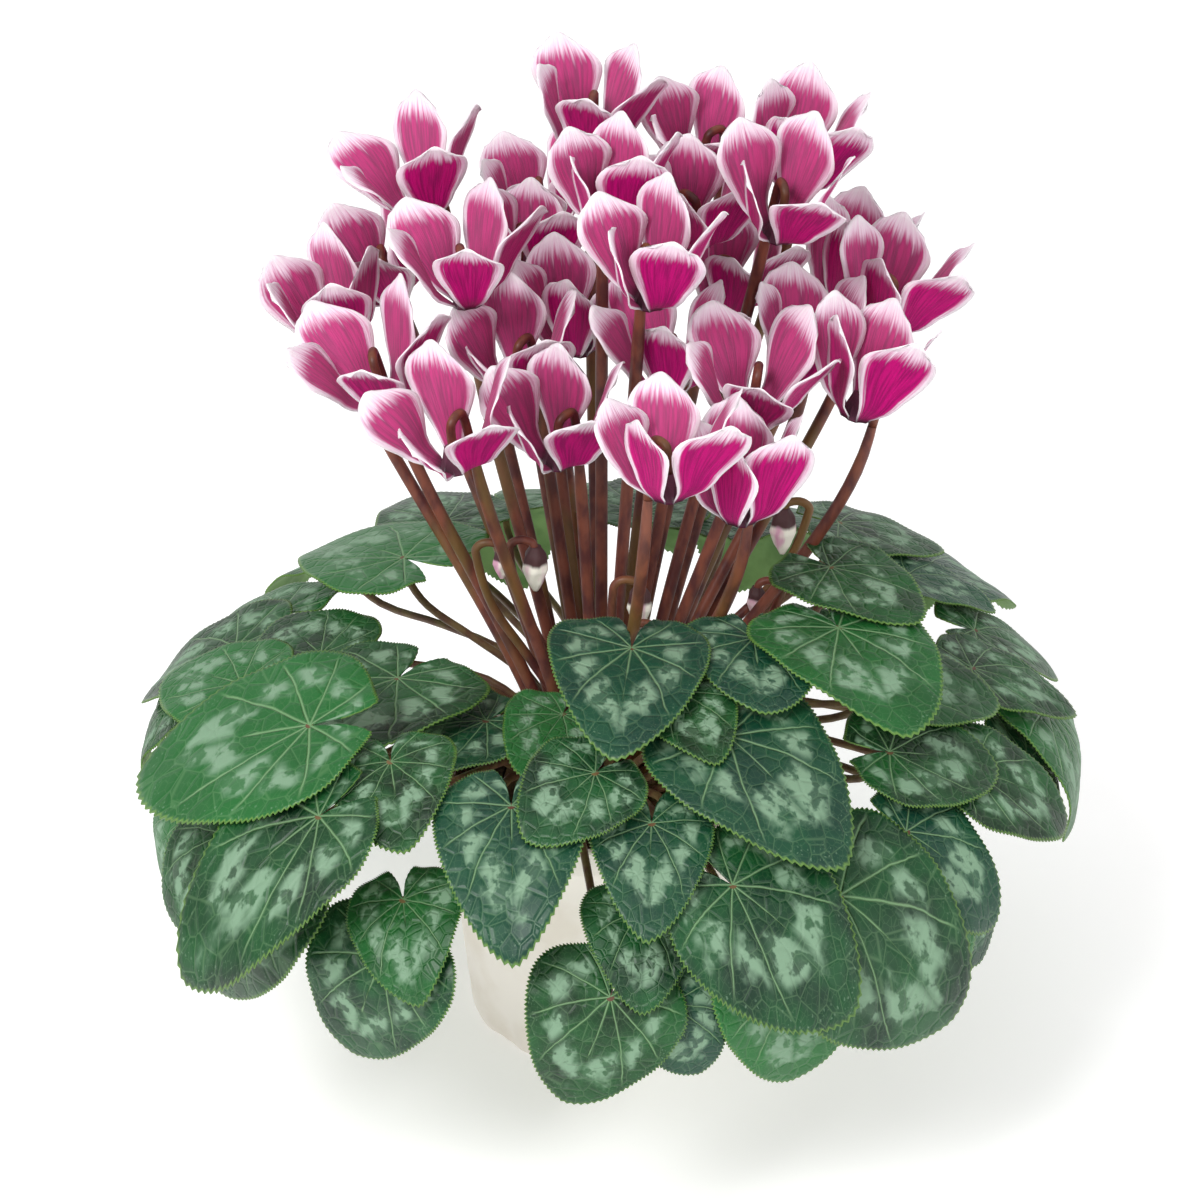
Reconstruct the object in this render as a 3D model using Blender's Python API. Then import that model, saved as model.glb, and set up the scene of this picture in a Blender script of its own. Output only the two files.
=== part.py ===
"""Potted florist's cyclamen: a mound of heart-shaped leaves, nodding blooms with swept-back petals, a clay pot.

Metres, +Z up. The origin is the middle of the pot's foot, on the surface it stands on, and the plant's
best side faces -Y. Leaves lie on a shared dome in layers, so a blade never passes through another.
"""

import math
import random

import bmesh
import bpy
import numpy as np
from mathutils import Matrix, Vector
from mathutils.bvhtree import BVHTree

MM = 0.001
COLLECTION = "potted_cyclamen"
CLEARANCE = 0.3 * MM

# Pot
POT_HEIGHT = 120 * MM
POT_FOOT_RADIUS = 57 * MM
POT_RIM_RADIUS = 70 * MM
POT_WALL = 4.5 * MM
POT_FLOOR = 6 * MM
POT_SIDES = 28
FOOT_LUMPS = 11
LUMP_DEPTH = 0.9 * MM

# Soil and tuber
SOIL_TOP = 110 * MM
TUBER_RADIUS = 43 * MM
TUBER_TOP = 118 * MM
TUBER_BOTTOM = 84 * MM
TUBER_SIDES = 16
TUBER_PROFILE = (
    (0, TUBER_BOTTOM), (TUBER_RADIUS * 0.62, TUBER_BOTTOM + 3 * MM), (TUBER_RADIUS - 1 * MM, 101 * MM),
    (TUBER_RADIUS - 0.6 * MM, SOIL_TOP), (TUBER_RADIUS * 0.93, TUBER_TOP), (0, TUBER_TOP),
)

VIEW_ELEVATION = math.radians(30)

# Leaf dome
DOME_RADIUS = 198 * MM
DOME_FOOT = 122 * MM
DOME_RISE = 58 * MM
DOME_FULLNESS = 2.6
SKIRT_DROP = 95 * MM
SKIRT_TUCK = 20 * MM
BLADE = 0.8 * MM
LAYER_GAP = 2.4 * MM
LENGTH_SHARE = 0.97
BLADE_RINGS = ((0.5, 6), (1.0, 11))
RAY_SPREAD = math.radians(170)

# Leaf stalks
LEAF_STALK_RADIUS = 1.7 * MM
LEAF_STALK_STEPS = 5
SHOOT_RING = 34 * MM
SHOOT_RADIUS = 2.6 * MM
SHOOT_HEIGHT = 8 * MM
# Ways that a leaf stalk may bow, tried in turn: millimetres aside, and how much further out
SWAYS = [(aside, out) for out in (0, 1, -1, 2)
         for aside in (0, 6, -6, 12, -12, 20, -20, 30, -30, 42, -42)]
# Places where a shoot may stand, tried in turn: radians round the tuber and millimetres outwards
SHOOT_MOVES = [(turn, out) for turn in (0, 0.06, -0.06, 0.12, -0.12, 0.2, -0.2) for out in (0, -3, 3, -6, 5)]

# Blooms
STALK_RADIUS = 2.6 * MM
STALK_SIDES = 4
STALK_STEPS = 6
STALK_SPREAD = 0.17
TUBE_RADIUS = 5.5 * MM
TUBE_HEIGHT = 10 * MM
HOOK_RADIUS = 5.5 * MM
HOOK_TUBE = 1.9 * MM
HOOK_TURN = math.radians(33)
PETALS = 5
PETAL = 0.8 * MM
PETAL_ROWS = (0.0, 0.34, 0.70, 1.0)
PETAL_COLUMNS = (-1.0, 0.0, 1.0)
# Moves tried in turn until a bloom stands clear: across and up the picture, along the line of sight, and a turn
BLOOM_NUDGES = ((0, 0), (6, 0), (-6, 0), (0, 7), (0, -7), (10, 5), (-10, 5))
BLOOM_DEPTHS = sorted(range(-60, 100, 5), key=abs)
BLOOM_TURNS = (0, 24, 48, 12, 36, 60)

# Each leaf: where its stalk meets the blade, as degrees round the plant from the front and millimetres
# down the dome from its top, then the way the tip points, in degrees from straight down, and the length.
LEAVES = (
    (-13, 146, 15, 54), (1, 203, -20, 54), (8, 207, 18, 40), (22, 203, 2, 54), (16, 174, 42, 54),
    (29, 184, 36, 66), (37, 199, 25, 54), (-26, 199, -17, 60), (-36, 171, -30, 56), (-26, 177, 30, 42),
    (-47, 188, -17, 70), (-54, 186, -9, 44), (-33, 142, 42, 40), (-47, 146, -50, 70), (-65, 192, -22, 46),
    (-74, 166, -24, 40), (5, 172, -3, 38), (7, 150, -10, 42), (22, 124, 20, 62), (-1, 133, -42, 38),
    (16, 101, 6, 38), (8, 69, -15, 58), (-15, 61, -8, 42), (-39, 75, -20, 50), (-64, 92, 30, 62),
    (40, 86, -36, 44), (49, 56, 2, 36), (81, 71, 8, 27), (74, 85, -28, 44), (56, 107, -32, 58),
    (43, 172, 28, 48), (46, 192, 20, 48), (50, 145, 50, 48), (59, 169, 38, 46), (64, 121, 32, 52),
    (77, 188, 40, 50), (88, 190, -45, 58), (84, 153, 10, 46), (98, 159, 8, 46), (109, 136, -22, 40),
    (100, 88, -20, 40), (126, 124, -30, 48), (117, 158, 12, 54), (-85, 117, -62, 46), (-118, 76, -20, 66),
    (-97, 158, -16, 58), (-80, 150, -50, 50), (-111, 152, -20, 54), (-136, 176, 25, 48), (-92, 192, 10, 46),
    (136, 182, 6, 58), (153, 150, -14, 60), (158, 192, 18, 54), (172, 170, -8, 60), (-173, 132, 14, 56),
    (-166, 194, -12, 52), (-154, 160, 12, 62), (-145, 118, -16, 54), (168, 92, 12, 50), (148, 100, 24, 44),
)

# Each bloom in the view from the front: millimetres right of the pot's middle and up the picture, then
# how wide the petals spread (0 to 1), the turn of the petal ring and the lean to the right in degrees.
BLOOMS = (
    (-78, 352, 0.85, 10, -12), (-28, 354, 0.55, 30, -4), (-4, 380, 0.60, 50, 2), (44, 370, 0.70, 5, 4),
    (84, 364, 0.45, 25, 12), (-93, 318, 0.50, 60, -14), (-56, 312, 0.80, 40, -6), (-113, 296, 0.45, 15, -16),
    (-92, 270, 0.90, 33, -14), (5, 340, 0.50, 20, 0), (-10, 298, 0.45, 55, 0), (-35, 276, 0.60, 8, -4),
    (40, 336, 0.50, 44, 4), (80, 336, 0.60, 12, 8), (58, 314, 0.50, 66, 6), (20, 308, 0.45, 26, 2),
    (28, 278, 0.75, 48, 0), (110, 322, 0.45, 35, 14), (124, 306, 0.60, 58, 16), (88, 284, 0.60, 18, 10),
    (108, 268, 0.50, 2, 14), (-60, 242, 0.65, 24, -8), (-18, 246, 0.55, 12, -2), (26, 232, 0.70, 36, 2),
    (62, 262, 0.85, 52, 6), (56, 224, 0.40, 30, 6), (-30, 330, 0.50, 64, -2),
)

# Each bud: right of the pot's middle and up the picture as for the blooms, millimetres towards the front
# from the middle, and its length.
BUDS = (
    (-32, 186, 14, 21), (-46, 188, 10, 14), (11, 170, 22, 20),
    (81, 202, -12, 22), (70, 172, 0, 15), (18, 156, 30, 11),
)
BUD_STALK_RADIUS = 2.1 * MM
# A bud's outline: width as a share of its widest, and place down its length
BUD_LEVELS = ((0.35, 0.02), (0.85, 0.2), (1.0, 0.5), (0.62, 0.8), (0.12, 1.0))

COLOURS = {
    "clay": (0.80, 0.76, 0.71, 0.75),
    "soil": (0.05, 0.035, 0.025, 0.95),
    "tuber": (0.16, 0.10, 0.07, 0.8),
    "leaf": (0.025, 0.13, 0.045, 0.45),
    "petal": (0.55, 0.01, 0.18, 0.5),
}


def material(name):
    """A Principled material: colour and roughness from COLOURS."""
    found = bpy.data.materials.get(name)
    if found:
        return found
    red, green, blue, rough = COLOURS[name]
    made = bpy.data.materials.new(name)
    made.use_nodes = True
    shader = made.node_tree.nodes["Principled BSDF"]
    shader.inputs["Base Color"].default_value = (red, green, blue, 1)
    shader.inputs["Roughness"].default_value = rough
    shader.inputs["Metallic"].default_value = 0
    made.diffuse_color = (red, green, blue, 1)
    return made


def add_object(name, mesh, finish, collection):
    """Puts a mesh in the scene as the named piece."""
    piece = bpy.data.objects.new(name, mesh)
    collection.objects.link(piece)
    if finish:
        mesh.materials.append(material(finish))
    return piece


def mesh_of(name, points, faces):
    """A mesh from points and faces, its faces turned outwards."""
    mesh = bpy.data.meshes.new(name)
    mesh.from_pydata([tuple(point) for point in points], [], faces)
    form = bmesh.new()
    form.from_mesh(mesh)
    bmesh.ops.recalc_face_normals(form, faces=form.faces)
    if form.calc_volume(signed=True) < 0:
        bmesh.ops.reverse_faces(form, faces=form.faces)
    form.to_mesh(mesh)
    form.free()
    return mesh


def fused(name, pieces, finish, home, workshop):
    """One body from several closed shapes, each (points, faces), by one union on a collection."""
    for solver in ("EXACT", "MANIFOLD"):
        batch = bpy.data.collections.new(f"{name}_shapes")
        shapes = [bpy.data.objects.new(f"{name}_{index}", mesh_of(name, *shape))
                  for index, shape in enumerate(pieces)]
        body = shapes[0]
        workshop.objects.link(body)
        for shape in shapes[1:]:
            batch.objects.link(shape)
        union = body.modifiers.new("union", "BOOLEAN")
        union.operation = "UNION"
        union.operand_type = "COLLECTION"
        union.collection = batch
        union.solver = solver
        bpy.context.view_layer.update()
        graph = bpy.context.evaluated_depsgraph_get()
        mesh = bpy.data.meshes.new_from_object(body.evaluated_get(graph))
        for shape in shapes:
            bpy.data.objects.remove(shape)
        bpy.data.collections.remove(batch)
        if clean(mesh):
            break
    mesh.name = name
    return add_object(name, mesh, finish, home)


def clean(mesh):
    """Merges doubled points, drops slivers and loose scraps, makes triangles; True where the mesh is closed."""
    form = bmesh.new()
    form.from_mesh(mesh)
    bmesh.ops.remove_doubles(form, verts=form.verts, dist=0.004 * MM)
    bmesh.ops.triangulate(form, faces=form.faces)
    groups = []
    seen = set()
    for start in form.faces:
        if start in seen:
            continue
        group, stack = [], [start]
        seen.add(start)
        while stack:
            face = stack.pop()
            group.append(face)
            for edge in face.edges:
                for other in edge.link_faces:
                    if other not in seen:
                        seen.add(other)
                        stack.append(other)
        groups.append(group)
    groups.sort(key=len, reverse=True)
    scraps = [face for group in groups[1:] for face in group]
    if scraps:
        bmesh.ops.delete(form, geom=scraps, context="FACES")
    whole = all(len(edge.link_faces) == 2 for edge in form.edges)
    form.to_mesh(mesh)
    form.free()
    return whole


def bezier(start, start_pull, end_pull, end, steps):
    """Points along one smooth curve between two ends."""
    places = []
    for step in range(steps + 1):
        t = step / steps
        places.append((1 - t) ** 3 * start + 3 * (1 - t) ** 2 * t * start_pull
                      + 3 * (1 - t) * t ** 2 * end_pull + t ** 3 * end)
    return places


def tube(path, radii, sides):
    """A closed tube along a path with a radius at each point."""
    points, faces = [], []
    tangents = [(path[min(i + 1, len(path) - 1)] - path[max(i - 1, 0)]).normalized() for i in range(len(path))]
    across = tangents[0].orthogonal().normalized()
    for place, tangent, radius in zip(path, tangents, radii):
        across = (across - tangent * across.dot(tangent)).normalized()
        other = tangent.cross(across)
        for side in range(sides):
            angle = 2 * math.pi * side / sides
            points.append(place + radius * (math.cos(angle) * across + math.sin(angle) * other))
    for ring in range(len(path) - 1):
        for side in range(sides):
            after = (side + 1) % sides
            a, b = ring * sides + side, ring * sides + after
            faces += [(a, b, b + sides), (a, b + sides, a + sides)]
    last = (len(path) - 1) * sides
    for side in range(1, sides - 1):
        faces.append((0, side + 1, side))
        faces.append((last, last + side, last + side + 1))
    return points, faces


def sheet_shape(top, bottom, triangles, border):
    """A closed thin sheet from matching upper and lower points, alike on both faces."""
    count = len(top)
    points = list(top) + list(bottom)
    faces = [tuple(face) for face in triangles]
    faces += [(c + count, b + count, a + count) for a, b, c in triangles]
    for index, first in enumerate(border):
        second = border[(index + 1) % len(border)]
        faces += [(first, first + count, second + count), (first, second + count, second)]
    return points, faces


def smooth(low, high, value):
    """0 below low, 1 above high, smooth between."""
    part = np.clip((value - low) / (high - low), 0, 1)
    return part * part * (3 - 2 * part)


class Dome:
    """The surface that the leaves lie on: a turned curve with a hanging skirt."""

    def __init__(self):
        part = np.linspace(0, 1, 900)
        radius = DOME_RADIUS * np.sin(part * math.pi / 2)
        height = DOME_FOOT + DOME_RISE * np.sqrt(1 - np.minimum(radius / DOME_RADIUS, 1) ** DOME_FULLNESS)
        drop = np.linspace(0, 1, 200)[1:]
        self.radius = np.concatenate([radius, DOME_RADIUS - SKIRT_TUCK * drop ** 2])
        self.height = np.concatenate([height, DOME_FOOT - SKIRT_DROP * drop])
        step = np.hypot(np.diff(self.radius), np.diff(self.height))
        self.arc = np.concatenate([[0], np.cumsum(step)])

    def turn_radius(self, arc):
        """Distance from the axis at an arc length from the top."""
        return np.interp(arc, self.arc, self.radius)

    def point(self, azimuth, arc, lift):
        """The place at an azimuth (radians) and arc, lifted along the surface's normal."""
        ahead = np.interp(arc + 9 * MM, self.arc, self.radius) - np.interp(arc - 9 * MM, self.arc, self.radius)
        down = np.interp(arc + 9 * MM, self.arc, self.height) - np.interp(arc - 9 * MM, self.arc, self.height)
        size = np.hypot(ahead, down) + 1e-12
        radius = np.interp(arc, self.arc, self.radius) - lift * down / size
        height = np.interp(arc, self.arc, self.height) + lift * ahead / size
        return np.stack([radius * np.sin(azimuth), -radius * np.cos(azimuth), height], axis=-1)


DOME = Dome()


class Leaf:
    """One heart-shaped blade on the dome, with its own fold, waves and droop."""

    def __init__(self, azimuth, arc, heading, length, seed):
        draw = random.Random(seed)
        self.azimuth = math.radians(azimuth)
        self.arc = arc * MM
        self.heading = math.radians(heading)
        self.length = LENGTH_SHARE * length * MM
        self.width = draw.uniform(0.92, 1.08)
        self.fold = draw.uniform(0.02, 0.09)
        self.wave = draw.uniform(0.4, 1.3) * MM
        self.phase = draw.uniform(0, 6.28)
        self.droop = draw.uniform(0.02, 0.10)
        self.tilt = draw.uniform(-0.03, 0.05)
        self.lift = 0.0

    def reach(self, angle):
        """Distance from the stalk to the outline, by the angle from the tip."""
        turn = np.abs(angle)
        body = 0.58 + 0.42 * np.exp(-(turn / 0.55) ** 1.4)
        body = body * (1 - 0.36 * smooth(1.45, 2.75, turn))
        return self.length * body * (1 - 0.85 * smooth(2.75, 3.12, turn)) * (1 + (self.width - 1) * np.sin(turn))

    def form(self, along, aside):
        """Height of the blade over its own plane: folded at the midrib, waved at the rim, drooping at the tip."""
        far = np.hypot(along, aside) / self.length
        angle = np.arctan2(aside, along)
        rise = self.fold * np.sqrt(aside ** 2 + (2 * MM) ** 2) + self.tilt * along
        return rise + self.wave * np.sin(3 * angle + self.phase) * far ** 2 - self.droop * self.length * far ** 2

    def to_dome(self, along, aside):
        """Azimuth and arc of a place on the blade."""
        cos, sin = math.cos(self.heading), math.sin(self.heading)
        arc = self.arc + along * cos - aside * sin
        turn = (along * sin + aside * cos) / np.maximum(DOME.turn_radius(np.maximum(arc, 25 * MM)), 25 * MM)
        return self.azimuth + turn, arc

    def from_dome(self, azimuth, arc):
        """The blade's own coordinates of a place on the dome."""
        delta = (azimuth - self.azimuth + math.pi) % (2 * math.pi) - math.pi
        round_way = delta * np.maximum(DOME.turn_radius(np.maximum(arc, 25 * MM)), 25 * MM)
        down_way = arc - self.arc
        cos, sin = math.cos(self.heading), math.sin(self.heading)
        return down_way * cos + round_way * sin, round_way * cos - down_way * sin

    def covers(self, azimuth, arc, margin):
        """True where the blade, widened by a margin, lies over a place on the dome."""
        along, aside = self.from_dome(azimuth, arc)
        return np.hypot(along, aside) < self.reach(np.arctan2(aside, along)) + margin

    def height_at(self, azimuth, arc):
        """Lift of the blade over the dome at a place that it covers."""
        return self.lift + self.form(*self.from_dome(azimuth, arc))

    def samples(self):
        """Places spread over the blade and just past its outline."""
        angle = np.linspace(-math.pi, math.pi, 33)[:-1]
        reach = self.reach(angle) + 1.5 * MM
        part = np.array([0.0, 0.25, 0.5, 0.75, 0.9, 1.0])[:, None]
        along = (part * reach * np.cos(angle)).ravel()
        aside = (part * reach * np.sin(angle)).ravel()
        return self.to_dome(along, aside)

    def faces_of(self, rings):
        """The upper face's triangles and the border, for rings of points round the stalk."""
        faces = [(0, 1 + ray, 2 + ray) for ray in range(rings[0][1] - 1)]
        starts = [1]
        for (_, inner), (_, outer) in zip(rings, rings[1:]):
            start, after = starts[-1], starts[-1] + inner
            starts.append(after)
            for ray in range(inner - 1):
                a = start + ray
                if outer == inner:
                    b = after + ray
                    faces += [(a, b, b + 1), (a, b + 1, a + 1)]
                else:
                    b = after + 2 * ray
                    faces += [(a, b, b + 1), (a, b + 1, a + 1), (a + 1, b + 1, b + 2)]
        border = [0] + starts[:-1] + list(range(starts[-1], starts[-1] + rings[-1][1]))
        border += [starts[ring] + rings[ring][1] - 1 for ring in range(len(rings) - 2, -1, -1)]
        return faces, border

    def skins(self, rings, thickness=BLADE):
        """Upper and lower points of the blade."""
        along, aside = [0.0], [0.0]
        for part, rays in rings:
            angles = np.linspace(-RAY_SPREAD, RAY_SPREAD, rays)
            reach = self.reach(angles) * part
            along += list(reach * np.cos(angles))
            aside += list(reach * np.sin(angles))
        along, aside = np.array(along), np.array(aside)
        azimuth, arc = self.to_dome(along, aside)
        lift = self.lift + self.form(along, aside)
        top = [Vector(place) for place in DOME.point(azimuth, arc, lift + thickness / 2)]
        bottom = [Vector(place) for place in DOME.point(azimuth, arc, lift - thickness / 2)]
        return top, bottom

    def shape(self, rings=BLADE_RINGS, thickness=BLADE):
        """The blade alone as a closed sheet."""
        return sheet_shape(*self.skins(rings, thickness), *self.faces_of(rings))

    def with_stalk(self, path, rings=BLADE_RINGS):
        """Blade and stalk as one body: the stalk's four sides open out into the blade's lower face."""
        top, bottom = self.skins(rings)
        faces, border = self.faces_of(rings)
        count = len(top)
        first = rings[0][1]
        collar = self.seat(BLADE / 2 + 0.5 * MM)
        tipward = (top[1 + first // 2] - top[0]).normalized()
        aside = (path[-2] - path[-1]).cross(tipward).normalized()
        turn = 1 if aside.dot(top[first] - top[1]) > 0 else -1
        ways = (tipward, aside * turn, -tipward, -aside * turn)
        points = top + bottom + [collar + way * LEAF_STALK_RADIUS for way in ways[1:]]
        points[count] = collar + tipward * LEAF_STALK_RADIUS
        ring = [count, 2 * count, 2 * count + 1, 2 * count + 2]
        lower = [tuple(index + count for index in reversed(face)) for face in faces[first - 1:]]
        fan = []
        for ray in range(first - 1):
            share = (ray + 0.5) / (first - 1)
            corner = ring[3] if share < 0.36 else ring[0] if share < 0.64 else ring[1]
            fan.append((count + 2 + ray, count + 1 + ray, corner))
        joints = []
        for before, after in zip(fan, fan[1:]):
            if before[2] != after[2]:
                joints.append((before[0], before[2], after[2]))
        left, right = count + 1, count + first
        walls = [(0, 1, left), (0, left, ring[3]), (0, right, first), (0, ring[1], right),
                 (0, ring[3], ring[2]), (0, ring[2], ring[1])]
        for one, two in zip(border[1:], border[2:]):
            walls += [(one, two, two + count), (one, two + count, one + count)]
        faces = faces + lower + fan + joints + walls
        across = ways[0]
        line = list(reversed(path[:-1]))
        for index, place in enumerate(line):
            ahead = line[min(index + 1, len(line) - 1)] - line[max(index - 1, 0)]
            tangent = ahead.normalized()
            across = (across - tangent * across.dot(tangent)).normalized()
            if index == 0:
                hand = 1 if tangent.cross(across).dot(ways[1]) > 0 else -1
            other = tangent.cross(across) * hand
            start = len(points)
            points += [place + way * LEAF_STALK_RADIUS for way in (across, other, -across, -other)]
            fresh = [start, start + 1, start + 2, start + 3]
            for side in range(4):
                after = (side + 1) % 4
                faces += [(ring[side], ring[after], fresh[after]), (ring[side], fresh[after], fresh[side])]
            ring = fresh
        faces += [(ring[0], ring[1], ring[2]), (ring[0], ring[2], ring[3])]
        return points, faces

    def seat(self, depth):
        """A place on the stalk's line under the blade."""
        lift = self.lift + float(self.form(np.float64(0), np.float64(0)))
        return Vector(DOME.point(np.float64(self.azimuth), np.float64(self.arc), np.float64(lift - depth)))


def lift_needed(leaf, placed):
    """How far a leaf stands off the dome to lie over the leaves already placed."""
    leaf.lift = 0.0
    azimuth, arc = leaf.samples()
    own = leaf.height_at(azimuth, arc)
    needed = 0.0
    for other in placed:
        shared = other.covers(azimuth, arc, 1.5 * MM)
        if shared.any():
            needed = max(needed, float((other.height_at(azimuth, arc) + LAYER_GAP - own)[shared].max()))
    return needed


def stem_trees(blooms):
    """Search trees of the flower stalks and buds, a little thicker than they are."""
    trees = [tree_of([tube(bloom_stalk(bloom), [STALK_RADIUS + 0.3 * MM] * (STALK_STEPS + 1), 7)])
             for bloom in blooms]
    return trees + [tree_of(bud_shapes(*row)) for row in BUDS]


def stack_leaves(stems):
    """Lays the leaves on the dome from the lowest up, each clear of those it covers and of the flower stalks."""
    leaves = [Leaf(*row, seed=100 + index) for index, row in enumerate(LEAVES)]
    order = sorted(range(len(leaves)), key=lambda index: -leaves[index].arc)
    placed, laid = [], []
    while order:
        choice = order[0]
        for index in order:
            leaf = leaves[index]
            hides = [other for other in order if other != index
                     and leaf.covers(leaves[other].azimuth, leaves[other].arc, 3 * MM)]
            if not hides:
                choice = index
                break
        order.remove(choice)
        leaf = leaves[choice]
        for _ in range(12):
            leaf.lift = lift_needed(leaf, placed)
            blade = tree_of([leaf.shape(thickness=BLADE + 0.8 * MM)])
            while any(blade.overlap(tree) for tree in laid):
                leaf.lift += 0.5 * MM
                blade = tree_of([leaf.shape(thickness=BLADE + 0.8 * MM)])
            if not any(blade.overlap(tree) for tree in stems):
                break
            leaf.arc += 3 * MM
        placed.append(leaf)
        laid.append(blade)
    return leaves


class Bloom:
    """One nodding flower: five petals swept up round a short tube, and the hook that carries it."""

    def __init__(self, across, up, spread, turn, lean, seed):
        draw = random.Random(seed)
        self.across = across * MM
        self.up = up * MM
        self.spread = spread
        self.turn = math.radians(turn)
        self.lean = math.radians(lean)
        self.nod = math.radians(draw.uniform(-16, 4))
        self.twist = math.radians(draw.uniform(8, 22))
        self.length = draw.uniform(43, 50) * MM
        self.uneven = [draw.uniform(-1, 1) for _ in range(2 * PETALS)]
        self.frame = None

    def place(self, depth, turn, nudge):
        """Sets the flower at a depth along the line of sight, nudged across and up, and turns its petals."""
        up = self.up + nudge[1] * MM
        back = (up - 292 * MM) / 0.93
        height = (up - 0.5 * back) / math.cos(VIEW_ELEVATION)
        middle = Vector((self.across + nudge[0] * MM, back + depth * math.cos(VIEW_ELEVATION),
                         height - depth * math.sin(VIEW_ELEVATION)))
        axis = Matrix.Rotation(self.lean, 3, "Y") @ Matrix.Rotation(-self.nod, 3, "X")
        foot = middle - axis @ Vector((0, 0, 0.46 * self.length))
        self.frame = Matrix.Translation(foot) @ (axis @ Matrix.Rotation(self.turn + turn, 3, "Z")).to_4x4()

    def petal_point(self, index, row, column):
        """A place on a petal: row runs 0 to 1 from the mouth to the tip, column -1 to 1 across."""
        own = self.spread + 0.16 * self.uneven[index]
        length = self.length * (1 + 0.06 * self.uneven[index + PETALS])
        out = TUBE_RADIUS + 5.5 * MM * smooth(0, 0.25, row) + own * 0.56 * length * row ** 1.35
        rise = -1.5 * MM * math.sin(math.pi * min(row / 0.3, 1)) + length * row * (1 - 0.16 * own * row)
        half = 2.3 * MM + 13.2 * MM * math.sin(math.pi * min(0.5, row * 0.66)) ** 1.25
        half *= math.sqrt(1 - 0.84 * (max(0, row - 0.62) / 0.38) ** 2)
        turned = self.twist * row + math.radians(16) * smooth(0, 0.2, row)
        cup = 0.20 * half * column ** 2 * math.cos(math.pi * row * 0.9)
        tip = -0.10 * length * row ** 3 * abs(column) ** 1.6
        side = column * half
        place = Vector((out + cup + side * math.sin(turned), side * math.cos(turned), rise + tip))
        return Matrix.Rotation(2 * math.pi * index / PETALS, 3, "Z") @ place

    def corolla(self, rows=PETAL_ROWS, columns=PETAL_COLUMNS, thickness=PETAL):
        """The tube and its five petals as one closed sheet, from the crown of the tube down and out."""
        wide = len(columns)
        points = []
        across, along = [], []
        for index in range(PETALS):
            angle = 2 * math.pi * index / PETALS
            radius = 0.62 * TUBE_RADIUS
            points.append(Vector((radius * math.cos(angle), radius * math.sin(angle), TUBE_HEIGHT)))
            across.append(Vector((-math.sin(angle), math.cos(angle), 0)))
            along.append(Vector((math.cos(angle), math.sin(angle), -0.9)))
        faces = [(0, index + 1, index) for index in range(1, PETALS - 1)]
        border = []
        per_petal = wide * len(rows)
        for index in range(PETALS):
            base = PETALS + index * per_petal
            grid = [[self.petal_point(index, row, column) for column in columns] for row in rows]
            for row in range(len(rows)):
                for column in range(wide):
                    after = grid[min(row + 1, len(rows) - 1)][column]
                    points.append(grid[row][column])
                    if row:
                        along.append((after - grid[row - 1][column]).normalized())
                    else:
                        along.append(Vector((grid[0][column].x, grid[0][column].y, 0)).normalized())
                    across.append(grid[row][min(column + 1, wide - 1)] - grid[row][max(column - 1, 0)])
            for column in range(wide - 1):
                faces.append((index, base + column + 1, base + column))
            following = (index + 1) % PETALS
            mouth = PETALS + following * per_petal
            faces += [(index, mouth, base + wide - 1), (index, following, mouth)]
            for row in range(len(rows) - 1):
                for column in range(wide - 1):
                    a = base + row * wide + column
                    faces += [(a, a + 1, a + wide + 1), (a, a + wide + 1, a + wide)]
            last = base + (len(rows) - 1) * wide
            border += [base + row * wide for row in range(len(rows))] + list(range(last + 1, last + wide))
            border += [base + row * wide + wide - 1 for row in range(len(rows) - 2, -1, -1)]
        top, bottom = [], []
        for place, side, way in zip(points, across, along):
            normal = side.cross(way).normalized() * thickness / 2
            top.append(self.frame @ (place + normal))
            bottom.append(self.frame @ (place - normal))
        return sheet_shape(top, bottom, faces, border)

    def hook_path(self):
        """The carrying hook's middle line, from beside the mouth over to the top of the tube."""
        aside = 2 * HOOK_RADIUS
        side = Matrix.Rotation(HOOK_TURN, 3, "Z") @ Vector((1, 0, 0))
        path = [side * (aside + 0.3 * MM) + Vector((0, 0, -5 * MM)), side * aside + Vector((0, 0, 8 * MM))]
        for step in range(1, 4):
            angle = math.pi * step / 4
            path.append(side * (HOOK_RADIUS + HOOK_RADIUS * math.cos(angle))
                        + Vector((0, 0, 16 * MM + HOOK_RADIUS * math.sin(angle))))
        path.append(Vector((0, 0, TUBE_HEIGHT)))
        return [self.frame @ place for place in path]

    def shapes(self):
        """The flower's closed shapes: tube with petals, and hook."""
        path = self.hook_path()
        return [self.corolla(), tube(path, [HOOK_TUBE] * len(path), 4)]

    def stalk_top(self):
        """Where the stalk ends under the hook, and its way there."""
        path = self.hook_path()
        way = (path[1] - path[0]).normalized()
        return path[0] - way * CLEARANCE, way


def tree_of(shapes):
    """A search tree over several shapes."""
    points, faces = [], []
    for shape_points, shape_faces in shapes:
        faces += [tuple(index + len(points) for index in face) for face in shape_faces]
        points += shape_points
    return BVHTree.FromPolygons(points, faces)


def shape_of(piece):
    """A piece's mesh as points and faces."""
    return [vert.co.copy() for vert in piece.data.vertices], [tuple(face.vertices) for face in piece.data.polygons]


def stalk_foot(place):
    """Where a stalk leaves the tuber, in the same order as the heads above."""
    return Vector((place.x * STALK_SPREAD, (place.y - 22 * MM) * STALK_SPREAD, TUBER_TOP - 3 * MM))


def bloom_stalk(bloom, steps=STALK_STEPS):
    """The middle line of a bloom's stalk."""
    end, way = bloom.stalk_top()
    foot = stalk_foot(end)
    pull = (end - foot).length
    rise = Vector((end.x * 0.20, end.y * 0.20, pull * 0.34))
    neck = end - way * 5 * MM
    return bezier(foot, foot + rise, neck - way * pull * 0.28, neck, steps - 1) + [end]


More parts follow.
